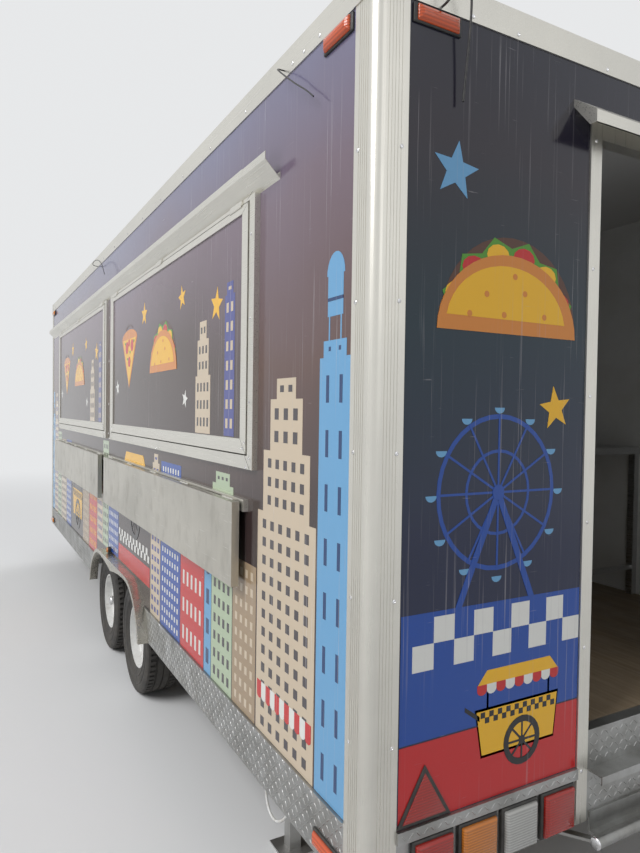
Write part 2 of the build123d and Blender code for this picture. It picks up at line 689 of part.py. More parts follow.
def wheel(x, side):
    """A pressed steel wheel with its hub and brake drum."""
    well = RIM_SEAT_RADIUS - 19 - RIM_SHEET
    disc_points = [
        (0, 0), (6, 0), (6, 80), (30, 112), (30, 128), (8, well), (0, well), (24, 126), (24, 114), (0, 84),
    ]
    disc = turned(make_face(Polyline(*disc_points, close=True)))
    for i in range(HAND_HOLES):
        angle = 2 * pi * (i + 0.5) / HAND_HOLES
        hole = rod_along_y(HAND_HOLE_RADIUS, 146 * sin(angle), 146 * cos(angle), -10, 40)
        disc -= hole
    hub = rod_along_y(HUB_RADIUS, 0, 0, -DRUM_WIDTH, 40) + rod_along_y(32, 0, 0, 40, 62)
    drum = rod_along_y(DRUM_RADIUS, 0, 0, -DRUM_WIDTH - 2, 0)
    drum -= rod_along_y(DRUM_RADIUS - 9, 0, 0, -DRUM_WIDTH - 3, -10)
    body = turned(rim_section()) + disc + drum + hub
    body -= rod_along_y(SPINDLE_RADIUS + SPINDLE_CLEARANCE, 0, 0, -DRUM_WIDTH - 3, 36)
    if side < 0:
        body = right_of(body)
    return [Pos(x, side * WHEEL_Y, AXLE_Z) * body]


# Fenders and skirts

def arc_point(x, z, radius, angle):
    return (x + radius * cos(radians(angle)), z + radius * sin(radians(angle)))


def fender_outline(inset):
    """The side view of a fender: a leg behind, a flat top over both wheels, a leg in front."""
    radius = FENDER_RADIUS - inset
    low = degrees(asin((SKIRT_Z - AXLE_Z) / radius))
    rear = 180 - low
    a = arc_point(REAR_AXLE_X, AXLE_Z, radius, rear)
    b = arc_point(REAR_AXLE_X, AXLE_Z, radius, 90)
    c = arc_point(FRONT_AXLE_X, AXLE_Z, radius, 90)
    d = arc_point(FRONT_AXLE_X, AXLE_Z, radius, low)
    return make_face([
        ThreePointArc(a, arc_point(REAR_AXLE_X, AXLE_Z, radius, (rear + 90) / 2), b),
        Line(b, c),
        ThreePointArc(c, arc_point(FRONT_AXLE_X, AXLE_Z, radius, (90 + low) / 2), d),
        Line(d, a),
    ])


def arch_outline():
    """The opening in a fender: it follows each wheel and dips a little between them."""
    radius = ARCH_RADIUS
    low = degrees(asin((SKIRT_Z - AXLE_Z) / radius))
    reach = AXLE_SPREAD / 2
    bend = (reach ** 2 + ARCH_VALLEY ** 2) / (2 * ARCH_VALLEY)
    half_turn = asin(reach / bend) / 2
    top_z = AXLE_Z + radius
    a = arc_point(REAR_AXLE_X, AXLE_Z, radius, 180 - low)
    b = (REAR_AXLE_X, top_z)
    valley = (AXLE_MIDDLE_X, top_z - ARCH_VALLEY)
    c = (FRONT_AXLE_X, top_z)
    d = arc_point(FRONT_AXLE_X, AXLE_Z, radius, low)
    dip = top_z - bend * (1 - cos(half_turn))
    rear_mid = (REAR_AXLE_X + bend * sin(half_turn), dip)
    front_mid = (FRONT_AXLE_X - bend * sin(half_turn), dip)
    return make_face([
        ThreePointArc(a, arc_point(REAR_AXLE_X, AXLE_Z, radius, 135), b),
        ThreePointArc(b, rear_mid, valley),
        ThreePointArc(valley, front_mid, c),
        ThreePointArc(c, arc_point(FRONT_AXLE_X, AXLE_Z, radius, 45), d),
        Line(d, a),
    ])


def fender():
    """A smooth sheet fender: a band out from the wall, and a face plate with the arch cut in it."""
    outer_y = HALF + FENDER_REACH
    shell = run_along_y(fender_outline(0), HALF, outer_y)
    shell -= run_along_y(fender_outline(FENDER_SHEET), HALF, outer_y - FENDER_SHEET)
    shell -= run_along_y(arch_outline(), outer_y - FENDER_SHEET, outer_y)
    return shell


def wheel_gap(inset, y0, y1):
    """What is cut out of a wall or skirt behind the fender."""
    return run_along_y(fender_outline(inset), y0, y1)


def side_skirt():
    """Chequered plate under the wall, with a lip folded out along its top, cut at the fender."""
    x0 = REAR_X + POST_FLANGE
    x1 = FRONT_X - POST_FLANGE
    plate = block(x0, x1, HALF - SKIRT_SHEET, HALF, SKIRT_Z, SKIRT_TOP_Z)
    lip = block(x0, x1, HALF, HALF + SKIRT_LIP, SKIRT_TOP_Z - SKIRT_SHEET, SKIRT_TOP_Z)
    backing = block(REAR_X + WALL, FRONT_X - WALL, INNER, HALF - SKIRT_SHEET,
                    SKIRT_TOP_Z - 60, SKIRT_TOP_Z)
    skirt = plate + lip + backing
    skirt -= wheel_gap(0, INNER - 1, HALF + SKIRT_LIP + 1)
    return list(skirt.solids())


def skirt_plates():
    """The plates under both sides and under the rear wall."""
    pieces = side_skirt() + [rear_skirt()]
    return pieces + [right_of(piece) for piece in pieces]


# Walls, floor edges and roof

def side_wall():
    """One side of the box, from the skirt to the roof, cut for the wheels."""
    wall = block(REAR_X + WALL, FRONT_X - WALL, INNER, HALF, SKIRT_TOP_Z, CEILING_Z)
    wall -= wheel_gap(FENDER_LAP, INNER - 1, HALF + 1)
    return wall


def left_wall():
    """The serving side, with two hatch openings."""
    wall = side_wall()
    for x in HATCH_CENTRES.values():
        half = HATCH_LENGTH / 2 - FRAME_LAP
        wall -= block(x - half, x + half, INNER - 1, HALF + 1,
                      HATCH_Z + FRAME_LAP, HATCH_TOP_Z - FRAME_TOP_BAND / 2)
    return [wall]


def right_wall():
    return [right_of(side_wall())]


def front_wall():
    wall = block(FRONT_X - WALL, FRONT_X, -INNER, INNER, SKIRT_TOP_Z, CEILING_Z)
    wall += block(FRONT_X - SKIRT_SHEET, FRONT_X, -INNER, INNER, SKIRT_Z, SKIRT_TOP_Z)
    y = drawbar_half_width(FRONT_X)
    half = DRAWBAR_WIDTH * 0.75
    for cut in pair(block(FRONT_X - WALL, FRONT_X + 1, y - half, y + half, SKIRT_Z - 1, RAIL_Z + 3)):
        wall -= cut
    return [wall]


def rear_wall():
    """The back of the box, with the doorway."""
    wall = block(REAR_X, REAR_X + WALL, -INNER, INNER, SKIRT_TOP_Z, CEILING_Z)
    wall -= block(REAR_X - 1, REAR_X + WALL + 1, -DOOR_HALF - JAMB / 2, DOOR_HALF + JAMB / 2,
                  SKIRT_TOP_Z - 1, DOOR_HEAD_Z + JAMB / 2)
    return [wall]


def roof():
    """A roof slab with a slight crown, flat at its edges under the roof rails."""
    flat = HALF - RAIL_TOP_LEG
    low = Polyline((-flat, ROOF_Z), (-HALF, ROOF_Z), (-HALF, CEILING_Z), (HALF, CEILING_Z),
                   (HALF, ROOF_Z), (flat, ROOF_Z))
    crown = ThreePointArc((flat, ROOF_Z), (0, ROOF_Z + ROOF_CROWN), (-flat, ROOF_Z))
    slab = extrude(Plane.YZ.offset(REAR_X) * make_face([low, crown]), amount=BOX_LENGTH)
    end = RAIL_TOP_LEG
    for x in (REAR_X, FRONT_X - end):
        slab -= block(x, x + end, -HALF, HALF, ROOF_Z, ROOF_Z + ROOF_CROWN + 1)
    x, y = vent_place()
    half = VENT_SIZE / 2 - VENT_WALL
    slab -= block(x - half, x + half, y - half, y + half, CEILING_Z - 1, ROOF_Z + ROOF_CROWN + 1)
    return [slab]


def corner_post():
    """The rear left post: a core in the corner, and two fluted flanges over the wall sheets."""
    x_out = REAR_X - POST_SHEET
    y_out = HALF + POST_SHEET
    post = block(x_out, REAR_X + WALL, INNER, y_out, SKIRT_Z, ROOF_RAIL_Z)
    post += block(x_out, REAR_X + POST_FLANGE, HALF, y_out, SKIRT_Z, ROOF_RAIL_Z)
    post += block(x_out, REAR_X, HALF - POST_FLANGE, y_out, SKIRT_Z, ROOF_RAIL_Z)
    edge = post.edges().filter_by(Axis.Z).sort_by_distance((x_out, y_out, SKIRT_Z))[0]
    post = fillet(edge, POST_RADIUS)
    first = POST_RADIUS + 6
    last = POST_FLANGE - 26
    for place in spread(POST_GROOVES, first, last):
        post -= block(REAR_X + place, REAR_X + place + POST_GROOVE_WIDTH,
                      y_out - POST_GROOVE_DEPTH, y_out + 1, SKIRT_Z, ROOF_RAIL_Z)
        post -= block(x_out - 1, x_out + POST_GROOVE_DEPTH,
                      HALF - place - POST_GROOVE_WIDTH, HALF - place, SKIRT_Z, ROOF_RAIL_Z)
    return post


def corner_posts():
    rear_left = corner_post()
    middle = (REAR_X + FRONT_X) / 2
    front_left = mirror(rear_left, about=Plane.YZ.offset(middle))
    return pair(rear_left) + pair(front_left)


def roof_rails():
    """Extruded rails along the top edges, each with a face and a top leg, between the corner caps."""
    out = RAIL_SHEET
    x0 = REAR_X + CORNER_CAP + 1
    x1 = FRONT_X - CORNER_CAP - 1
    side = [(HALF, ROOF_RAIL_Z), (HALF + out, ROOF_RAIL_Z), (HALF + out, ROOF_Z + out),
            (HALF - RAIL_TOP_LEG, ROOF_Z + out), (HALF - RAIL_TOP_LEG, ROOF_Z), (HALF, ROOF_Z)]
    rails = pair(run_along_x(side, x0, x1))
    half = HALF - CORNER_CAP - 1
    back = block(REAR_X - out, REAR_X, -half, half, ROOF_RAIL_Z, ROOF_Z + out)
    back += block(REAR_X, REAR_X + RAIL_TOP_LEG, -half, half, ROOF_Z, ROOF_Z + out)
    middle = (REAR_X + FRONT_X) / 2
    rails += [back, mirror(back, about=Plane.YZ.offset(middle))]
    cap = roof_corner_cap()
    return rails + pair(cap) + pair(mirror(cap, about=Plane.YZ.offset(middle)))


def roof_corner_cap():
    """The cast cap at the rear left roof corner, round outside."""
    out = CORNER_CAP_SHEET
    cap = block(REAR_X - out, REAR_X + CORNER_CAP, HALF - CORNER_CAP, HALF + out, ROOF_RAIL_Z, ROOF_Z + out)
    cap -= block(REAR_X, REAR_X + CORNER_CAP + 1, HALF - CORNER_CAP - 1, HALF, ROOF_RAIL_Z - 1, ROOF_Z)
    cap -= block(REAR_X + RAIL_TOP_LEG, REAR_X + CORNER_CAP + 1, HALF - CORNER_CAP - 1,
                 HALF - RAIL_TOP_LEG, ROOF_Z - 1, ROOF_Z + out + 1)
    edge = cap.edges().filter_by(Axis.Z).sort_by_distance((REAR_X - out, HALF + out, ROOF_RAIL_Z))[0]
    return fillet(edge, CORNER_CAP_SHEET)


# Hatches and gutter

def hatch_frame(x):
    """The fixed aluminium frame round one hatch, with its lining and hinge leaves."""
    x0 = x - HATCH_LENGTH / 2
    x1 = x + HATCH_LENGTH / 2
    band = block(x0, x1, HALF, HALF + FRAME_PROUD, HATCH_Z, HATCH_TOP_Z)
    band -= block(x0 + FRAME_BAND, x1 - FRAME_BAND, HALF - 1, HALF + FRAME_PROUD + 1,
                  HATCH_Z + FRAME_BAND, HATCH_TOP_Z - FRAME_TOP_BAND)
    lap = FRAME_LAP
    top = HATCH_TOP_Z - FRAME_TOP_BAND / 2
    lining = block(x0 + lap, x1 - lap, INNER, HALF, HATCH_Z + lap, top)
    lining -= block(x0 + FRAME_BAND, x1 - FRAME_BAND, INNER - 1, HALF + 1,
                    HATCH_Z + FRAME_BAND, HATCH_TOP_Z - FRAME_TOP_BAND)
    frame = band + lining
    edge_y = HALF + FRAME_PROUD
    for place in hinge_places(x, SASH_HALF, HINGES, HINGE_LENGTH):
        start, end = place
        leaf_y = SASH_Y + HINGE_LEAF / 2
        frame += block(start, end, edge_y, leaf_y, HATCH_TOP_Z - FRAME_TOP_BAND, HATCH_TOP_Z)
        frame += block(start, end, leaf_y - HINGE_LEAF, leaf_y, SASH_TOP_Z, HATCH_TOP_Z - FRAME_TOP_BAND)
        frame += rod_along_x(HINGE_PIN_RADIUS, SASH_Y, SASH_TOP_Z, start, end)
    return frame


def hinge_places(x, half, count, length):
    """Start and end along x of each hinge of a flap, spread evenly along it."""
    reach = half - length
    centres = spread(count, x - reach, x + reach)
    return [(centre - length / 2, centre + length / 2) for centre in centres]


def hatch_frames():
    return [hatch_frame(x) for x in HATCH_CENTRES.values()]


def serving_hatch(x):
    """A hatch: a wide aluminium sash all round, and the flat panel set back in it."""
    x0 = x - SASH_HALF
    x1 = x + SASH_HALF
    y0 = SASH_Y - SASH_DEPTH
    sash = block(x0, x1, y0, SASH_Y, SASH_Z, SASH_TOP_Z)
    sash -= block(x0 + SASH_BAND, x1 - SASH_BAND, y0 - 1, SASH_Y + 1,
                  SASH_Z + SASH_BAND, SASH_TOP_Z - SASH_TOP_BAND)
    room = HINGE_PIN_RADIUS + HINGE_CLEARANCE
    for start, end in hinge_places(x, SASH_HALF, HINGES, HINGE_LENGTH):
        sash -= rod_along_x(room, SASH_Y, SASH_TOP_Z, start - 5, end + 5)
    y1 = SASH_Y - SASH_PANEL_RECESS
    panel = block(x0 + SASH_BAND, x1 - SASH_BAND, y1 - SASH_PANEL, y1,
                  SASH_Z + SASH_BAND, SASH_TOP_Z - SASH_TOP_BAND)
    return [sash + panel]


def gutter_profile(drop):
    """Flange on the wall, trough rising outwards, and lip."""
    z0 = HATCH_TOP_Z + GUTTER_SHEET - drop
    reach = GUTTER_REACH
    sheet = GUTTER_SHEET
    return [
        (HALF, z0), (HALF + reach, z0 + reach), (HALF + reach, z0 + reach + GUTTER_LIP),
        (HALF + reach - sheet, z0 + reach + GUTTER_LIP), (HALF + reach - sheet, z0 + reach + sheet * 0.6),
        (HALF + sheet, z0 + sheet * 1.6), (HALF + sheet, z0 + GUTTER_FLANGE), (HALF, z0 + GUTTER_FLANGE),
    ]


def rain_gutter():
    """The upturned gutter over both hatches, in two lengths that lap near its rear end."""
    rear = HATCH_CENTRES["rear"] - HATCH_LENGTH / 2 - GUTTER_REAR_OVERHANG
    lap = rear + GUTTER_LAP_FROM_END
    long_piece = run_along_x(gutter_profile(0), lap + 1, FRONT_X - GUTTER_FRONT_GAP)
    short_piece = run_along_x(gutter_profile(GUTTER_LAP_STEP - GUTTER_SHEET), rear, lap)
    return [long_piece, short_piece]


# Shelves

def shelf_rail(x):
    """The rail on the wall that a shelf hangs from, with its hinge pins."""
    half = SHELF_LENGTH / 2 + 20
    rail = block(x - half, x + half, HALF, HALF + SHELF_RAIL_PROUD,
                 SHELF_TOP_Z - SHELF_RAIL_HEIGHT + 10, SHELF_TOP_Z + 10)
    for start, end in hinge_places(x, SHELF_LENGTH / 2, SHELF_HINGES, HINGE_LENGTH):
        rail += block(start, end, HALF + SHELF_RAIL_PROUD, SHELF_Y,
                      SHELF_TOP_Z - HINGE_LEAF / 2, SHELF_TOP_Z + HINGE_LEAF / 2)
        rail += rod_along_x(HINGE_PIN_RADIUS, SHELF_Y, SHELF_TOP_Z, start, end)
    return rail


def shelf_rails():
    return [shelf_rail(x + SHELF_SHIFT) for x in HATCH_CENTRES.values()]


def serving_shelf(hatch_x):
    """A folded aluminium shelf hanging down: a face sheet with its four edges turned in."""
    x = hatch_x + SHELF_SHIFT
    x0 = x - SHELF_LENGTH / 2
    x1 = x + SHELF_LENGTH / 2
    y1 = SHELF_Y + SHELF_THICKNESS
    z0 = SHELF_TOP_Z - SHELF_DEPTH
    shelf = block(x0, x1, SHELF_Y, y1, z0, SHELF_TOP_Z)
    shelf -= block(x0 + SHELF_SHEET, x1 - SHELF_SHEET, SHELF_Y - 1, y1 - SHELF_SHEET,
                   z0 + SHELF_SHEET, SHELF_TOP_Z - 14)
    room = HINGE_PIN_RADIUS + HINGE_CLEARANCE
    for start, end in hinge_places(x, SHELF_LENGTH / 2, SHELF_HINGES, HINGE_LENGTH):
        shelf -= rod_along_x(room, SHELF_Y, SHELF_TOP_Z, start - 5, end + 5)
    return [shelf]


# Rear doorway, door and step

def door_frame():
    """Jambs and head round the doorway; the jambs run down to the foot of the skirt."""
    out = REAR_X - JAMB_PROUD
    y_in = DOOR_HALF
    y_out = DOOR_HALF + JAMB
    jamb = block(out, REAR_X, y_in, y_out, SKIRT_Z, DOOR_HEAD_Z + JAMB)
    jamb += block(REAR_X, REAR_X + WALL, y_in, y_in + JAMB / 2, SKIRT_TOP_Z, DOOR_HEAD_Z + JAMB / 2)
    head = block(out, REAR_X, -y_out, y_out, DOOR_HEAD_Z, DOOR_HEAD_Z + JAMB)
    lap = y_in + JAMB / 2
    head += block(REAR_X, REAR_X + WALL, -lap, lap, DOOR_HEAD_Z, DOOR_HEAD_Z + JAMB / 2)
    frame = jamb + right_of(jamb) + head
    for start, end in door_hinge_heights():
        frame += block(out - HINGE_LEAF, out, -y_out + 5, DOOR_PIN_Y, start, end)
        frame += rod_along_z(DOOR_PIN_RADIUS, DOOR_PIN_X, DOOR_PIN_Y, start, end)
    return [frame]


def door_hinge_heights():
    """Bottom and top of each hinge of the door."""
    low = FLOOR_Z + 200
    high = DOOR_HEAD_Z - 200
    return [(z - DOOR_HINGE_LENGTH / 2, z + DOOR_HINGE_LENGTH / 2) for z in spread(DOOR_HINGES, low, high)]


def rear_door():
    """The door leaf, swung right round and flat to the rear wall. It shuts flush with its frame."""
    x1 = DOOR_PIN_X - DOOR_PIN_OUT
    y1 = DOOR_PIN_Y - DOOR_GAP / 2
    leaf = block(x1 - DOOR_LEAF, x1, y1 - DOOR_WIDTH + 2 * DOOR_GAP, y1,
                 FLOOR_Z + DOOR_GAP + 1, DOOR_HEAD_Z - DOOR_GAP)
    room = DOOR_PIN_RADIUS + HINGE_CLEARANCE
    for start, end in door_hinge_heights():
        leaf -= rod_along_z(room, DOOR_PIN_X, DOOR_PIN_Y, start - 5, end + 5)
    return [leaf]


def door_cap():
    """A small hood over the doorway: it slopes down and out to a lip, with closed ends."""
    wall_z = DOOR_HEAD_Z + CAP_ABOVE_HEAD
    out_x = REAR_X - CAP_REACH
    lip_z = wall_z - CAP_RISE
    sheet = CAP_SHEET
    points = [
        (REAR_X, wall_z), (REAR_X, wall_z - sheet * 1.3), (out_x + sheet, lip_z - sheet * 1.3),
        (out_x + sheet, lip_z - CAP_LIP), (out_x, lip_z - CAP_LIP), (out_x, lip_z),
    ]
    hood = run_along_y(make_face(Polyline(*points, close=True)), -CAP_HALF_LENGTH, CAP_HALF_LENGTH)
    flap_points = [
        (REAR_X, wall_z), (REAR_X, wall_z - 26), (out_x + 26, lip_z - CAP_LIP),
        (out_x, lip_z - CAP_LIP), (out_x, lip_z),
    ]
    flap = make_face(Polyline(*flap_points, close=True))
    hood += run_along_y(flap, CAP_HALF_LENGTH - sheet, CAP_HALF_LENGTH)
    hood += run_along_y(flap, -CAP_HALF_LENGTH, sheet - CAP_HALF_LENGTH)
    return [hood]


def rear_step():
    """The folded sill and ledge under the doorway, with a tread and a round bar on two arms."""
    half = DOOR_HALF
    ledge_z = FLOOR_Z - STEP_LEDGE_DROP
    sill = block(REAR_X - 4, REAR_X + WALL, -half, half, ledge_z, FLOOR_Z)
    ledge = block(REAR_X - STEP_LEDGE, REAR_X, -half, half, ledge_z - 4, ledge_z)
    nose = block(REAR_X - STEP_LEDGE, REAR_X - STEP_LEDGE + 4, -half, half, ledge_z - 26, ledge_z)
    riser = block(REAR_X - 4, REAR_X, -half, half, SKIRT_Z, ledge_z)
    step = sill + ledge + nose + riser
    tube_x = REAR_X - STEP_REACH + STEP_TUBE_RADIUS
    tube_z = SKIRT_Z - 38
    tube_half = STEP_TUBE_LENGTH / 2
    step += rod_along_y(STEP_TUBE_RADIUS, tube_x, tube_z, -tube_half, tube_half)
    tread_half = half - 12
    step += block(tube_x, REAR_X - 4, -tread_half, tread_half, tube_z - 4, tube_z + 4)
    step += block(REAR_X - 12, REAR_X - 4, -tread_half, tread_half, tube_z - 4, SKIRT_Z + 30)
    inner_y = tube_half - 20
    points = [
        (REAR_X + 76, inner_y + 116), (REAR_X + 76, inner_y + 84),
        (tube_x, inner_y - 14), (tube_x, inner_y + 16),
    ]
    arm = run_along_z(points, tube_z - 5, tube_z + 5)
    arm += block(REAR_X + 44, REAR_X + 76, inner_y + 84, inner_y + 92, tube_z,
                 RAIL_TOP_Z - CROSSMEMBER_HEIGHT)
    return [step + arm + right_of(arm)]


def rear_skirt():
    """Plate under the rear wall beside the doorway, with chequered trim along its top."""
    y0 = DOOR_HALF + JAMB
    y1 = HALF - POST_FLANGE
    plate = block(REAR_X, REAR_X + SKIRT_SHEET, y0, y1, SKIRT_Z, SKIRT_TOP_Z)
    trim = block(REAR_X - TRIM_PROUD, REAR_X, y0, y1, SKIRT_TOP_Z - TRIM_HEIGHT, SKIRT_TOP_Z)
    return plate + trim


# Lamps

def tail_lamp_places():
    """Left edge of each tail lamp, from the corner inwards: red, amber, white, red."""
    return [TAIL_LAMPS_LEFT_Y - (TAIL_LAMP + TAIL_LAMP_GAP) * i for i in range(TAIL_LAMPS)]


def tail_lamp(y1):
    """One rectangular lamp with a rounded lens."""
    z1 = SKIRT_TOP_Z - TRIM_HEIGHT - 4
    lamp = block(REAR_X - TAIL_LAMP_DEPTH, REAR_X, y1 - TAIL_LAMP, y1, SKIRT_Z + 2, z1)
    edges = lamp.faces().sort_by(Axis.X)[0].edges()
    return fillet(edges, 9)


def tail_lamps():
    pieces = []
    for place in tail_lamp_places():
        pieces += pair(tail_lamp(place))
    return pieces


def marker(x, y, z, along):
    """A clearance lamp: a wedge-shaped lens, centred on a place on a wall. It is drawn facing +y."""
    half = MARKER_LENGTH / 2
    tall = MARKER_HEIGHT / 2
    base = Box(MARKER_LENGTH, 8, MARKER_HEIGHT)
    points = [(4, -tall + 4), (4, tall - 4), (MARKER_DEPTH - 4, tall - 10), (MARKER_DEPTH - 4, -tall + 10)]
    lens = run_along_x(points, -half + 6, half - 6)
    lamp = base + lens
    return Pos(x, y, z) * Rot(0, 0, along) * Pos(0, 4, 0) * lamp


def clearance_lamps():
    """Markers high at the sides, low at the rear of the skirt, and high on the rear wall."""
    high = ROOF_RAIL_Z - MARKER_HEIGHT / 2 - 6
    low = SKIRT_Z + MARKER_HEIGHT / 2 + 30
    along = MARKER_FROM_CORNER + MARKER_LENGTH / 2
    side = []
    for x in (REAR_X + along, FRONT_X - along):
        side += pair(marker(x, HALF, high, 0))
        side += pair(marker(x, HALF, low, 0))
    rear_y = HALF - MARKER_FROM_CORNER - MARKER_LENGTH / 2
    rear = pair(marker(REAR_X, rear_y, high, 90))
    front = [mirror(lamp, about=Plane.YZ.offset((REAR_X + FRONT_X) / 2)) for lamp in rear]
    x = AXLE_MIDDLE_X + 280
    z = FENDER_TOP_Z + FENDER_LAMP_RADIUS + 1
    round_lamp = rod_along_y(FENDER_LAMP_RADIUS, x, z, HALF, HALF + 34)
    return side + rear + front + pair(round_lamp)


def triangle_reflectors():
    """Two triangles standing on the trim of the rear skirt."""
    y = HALF - TRIANGLE_FROM_CORNER
    z = SKIRT_TOP_Z + 4
    half = TRIANGLE_WIDTH / 2
    points = [(y - half, z), (y + half, z), (y, z + TRIANGLE_HEIGHT)]
    plate = run_along_x(points, REAR_X - TRIANGLE_DEPTH, REAR_X)
    edges = plate.edges().filter_by(Axis.X)
    return pair(fillet(edges, 8))


def lamps():
    """All lamps and the two reflectors; none of them touches another."""
    return tail_lamps() + clearance_lamps() + triangle_reflectors()


# Inside

def bench_top(x0, x1, sink):
    """A steel worktop with a folded front edge, and a sink bowl where asked for."""
    z1 = FLOOR_Z + COUNTER_HEIGHT
    z0 = z1 - COUNTER_TOP
    y0 = INNER - COUNTER_DEPTH
    sheet = COUNTER_SHEET
    top = block(x0, x1, y0, INNER, z0, z1)
    top -= block(x0 + sheet, x1 - sheet, y0 + sheet, INNER - sheet, z0 - 1, z1 - sheet)
    if sink:
        x = (x0 + x1) / 2
        y = (y0 + INNER) / 2
        half_x = SINK_LENGTH / 2
        half_y = SINK_WIDTH / 2
        low = z1 - SINK_DEPTH
        top += block(x - half_x, x + half_x, y - half_y, y + half_y, low, z1)
        top -= block(x - half_x + SINK_SHEET, x + half_x - SINK_SHEET, y - half_y + SINK_SHEET,
                     y + half_y - SINK_SHEET, low + SINK_SHEET, z1 + 1)
    return top


def bench_frame(x0, x1):
    """Four pairs of legs with a bar between them, clear of the wheel box."""
    z1 = FLOOR_Z + COUNTER_HEIGHT
    y0 = INNER - COUNTER_DEPTH
    leg = COUNTER_LEG
    box_0 = AXLE_MIDDLE_X - WHEEL_BOX_REACH
    box_1 = AXLE_MIDDLE_X + WHEEL_BOX_REACH
    bar_z = FLOOR_Z + COUNTER_BAR_HEIGHT
    frame = None
    for x in (x0 + 10, box_0 - leg - 20, box_1 + 20, x1 - leg - 10):
        pair_of_legs = block(x, x + leg, y0 + 20, y0 + 20 + leg, FLOOR_Z, z1)
        pair_of_legs += block(x, x + leg, INNER - leg, INNER, FLOOR_Z, z1)
        pair_of_legs += block(x + 8, x + leg - 8, y0 + 20, INNER, bar_z, bar_z + 24)
        frame = pair_of_legs if frame is None else frame + pair_of_legs
    return frame


def worktops():
    """The serving counter under the hatches, and the bench with the sink across from it."""
    x0 = REAR_X + COUNTER_FROM_REAR
    counter_end = FRONT_X - COUNTER_FROM_FRONT
    bench_end = FRONT_X - BENCH_FROM_FRONT
    counter = bench_top(x0, counter_end, False) + bench_frame(x0, counter_end)
    bench = bench_top(x0, bench_end, True) + bench_frame(x0, bench_end)
    return [counter, right_of(bench)]


# Roof vent

def vent_place():
    return FRONT_X - VENT_FROM_FRONT, 0.0


def vent_lid_z():
    return ROOF_Z + ROOF_CROWN + VENT_CURB + VENT_GAP


def roof_vent():
    """The curb of the vent, an open square frame through the roof, with its hinge pins."""
    x, y = vent_place()
    half = VENT_SIZE / 2
    top = ROOF_Z + ROOF_CROWN + VENT_CURB
    curb = block(x - half, x + half, y - half, y + half, ROOF_Z + ROOF_CROWN, top)
    inner = half - VENT_WALL
    neck = block(x - inner, x + inner, y - inner, y + inner, CEILING_Z, top)
    hollow = inner - VENT_SHEET
    curb = curb + neck - block(x - hollow, x + hollow, y - hollow, y + hollow, CEILING_Z - 1, top + 1)
    pin_x = x + half + VENT_LID_OVER
    for side in (-1, 1):
        y0, y1 = sorted((side * 150, side * 90))
        curb += block(x + half, pin_x, y0, y1, top - 20, vent_lid_z() + 2)
        curb += rod_along_y(6, pin_x, vent_lid_z(), y0, y1)
    return [curb]


def vent_lid():
    """The domed lid over the vent, hinged along its front edge."""
    x, y = vent_place()
    z0 = vent_lid_z()
    reach = VENT_SIZE / 2 + VENT_LID_OVER
    lid = block(x - reach, x + reach, -reach, reach, z0, z0 + VENT_LID)
    lid = fillet(lid.faces().sort_by(Axis.Z)[-1].edges(), 12)
    for side in (-1, 1):
        y0, y1 = sorted((side * 156, side * 84))
        lid -= rod_along_y(6 + HINGE_CLEARANCE, x + reach, z0, y0, y1)
        lid -= block(x + reach - 30, x + reach + 1, y0, y1, z0 - 1, z0 + 3)
    return [lid]


def cord(points, radius):
    """A round cord along straight runs joined by tangent arcs, each as large as its runs allow."""
    corners = [Vector(*point) for point in points]
    arcs = []
    for before, corner, after in zip(corners, corners[1:], corners[2:]):
        shorter = min((corner - before).length, (after - corner).length)
        turn = (corner - before).get_angle(after - corner)
        arcs.append(CORD_ARC_SHARE * shorter / tan(radians(turn) / 2))
    print("cord of radius", radius, "has arcs of", [round(arc) for arc in arcs])
    path = FilletPolyline(*corners, radius=arcs)
    start = Plane(origin=path @ 0, z_dir=path % 0)
    return [sweep(start * Circle(radius), path)]


def drain_hose():
    """A plastic hose that hangs in a loop under the floor and comes back up."""
    y = HALF - HOSE_FROM_WALL
    return cord([(REAR_X + ahead, y, z) for ahead, z in HOSE_ROUTE], HOSE_RADIUS)


def rear_cable():
    """A cable out of the rear roof rail, over in a loop and down in front of the wall."""
    face = REAR_X - RAIL_SHEET
    return cord([(face - out, HALF - inwards, z) for out, inwards, z in REAR_CABLE_ROUTE], CABLE_RADIUS)


def side_wire(route):
    """A thin wire out of the left roof rail."""
    face = HALF + RAIL_SHEET
    return cord([(REAR_X + ahead, face + out, z) for ahead, out, z in route], WIRE_RADIUS)


NODES = {
    "main_rails": main_rails,
    "crossmembers": crossmembers,
    "floor_panel": floor_panel,
    "wheel_boxes": wheel_boxes,
    "drawbar": drawbar,
    "coupler": coupler,
    "jacks": jacks,
    "axles": axles,
    "leaf_springs": leaf_springs,
    "spring_hangers": spring_hangers,
    "fenders": lambda: pair(fender()),
    "skirt_plates": skirt_plates,
    "left_wall": left_wall,
    "right_wall": right_wall,
    "front_wall": front_wall,
    "rear_wall": rear_wall,
    "roof": roof,
    "corner_posts": corner_posts,
    "roof_rails": roof_rails,
    "hatch_frames": hatch_frames,
    "rain_gutter": rain_gutter,
    "shelf_rails": shelf_rails,
    "door_frame": door_frame,
    "door_cap": door_cap,
    "rear_door": rear_door,
    "rear_step": rear_step,
    "lamps": lamps,
    "worktops": worktops,
    "roof_vent": roof_vent,
    "vent_lid": vent_lid,
    "drain_hose": drain_hose,
    "rear_cable": rear_cable,
    "side_wire": lambda: side_wire(SIDE_WIRE_ROUTE),
    "front_wire": lambda: side_wire(FRONT_WIRE_ROUTE),
}


def build_nodes():
    """Every node by its name, as a list of solids."""
    nodes = {name: make() for name, make in NODES.items()}
    for name, x in HATCH_CENTRES.items():
        nodes["serving_hatch_" + name] = serving_hatch(x)
        nodes["shelf_" + name] = serving_shelf(x)
    for name, x, side in WHEELS:
        nodes["wheel_" + name] = wheel(x, side)
        nodes["tyre_" + name] = tyre(x, side)
    return nodes


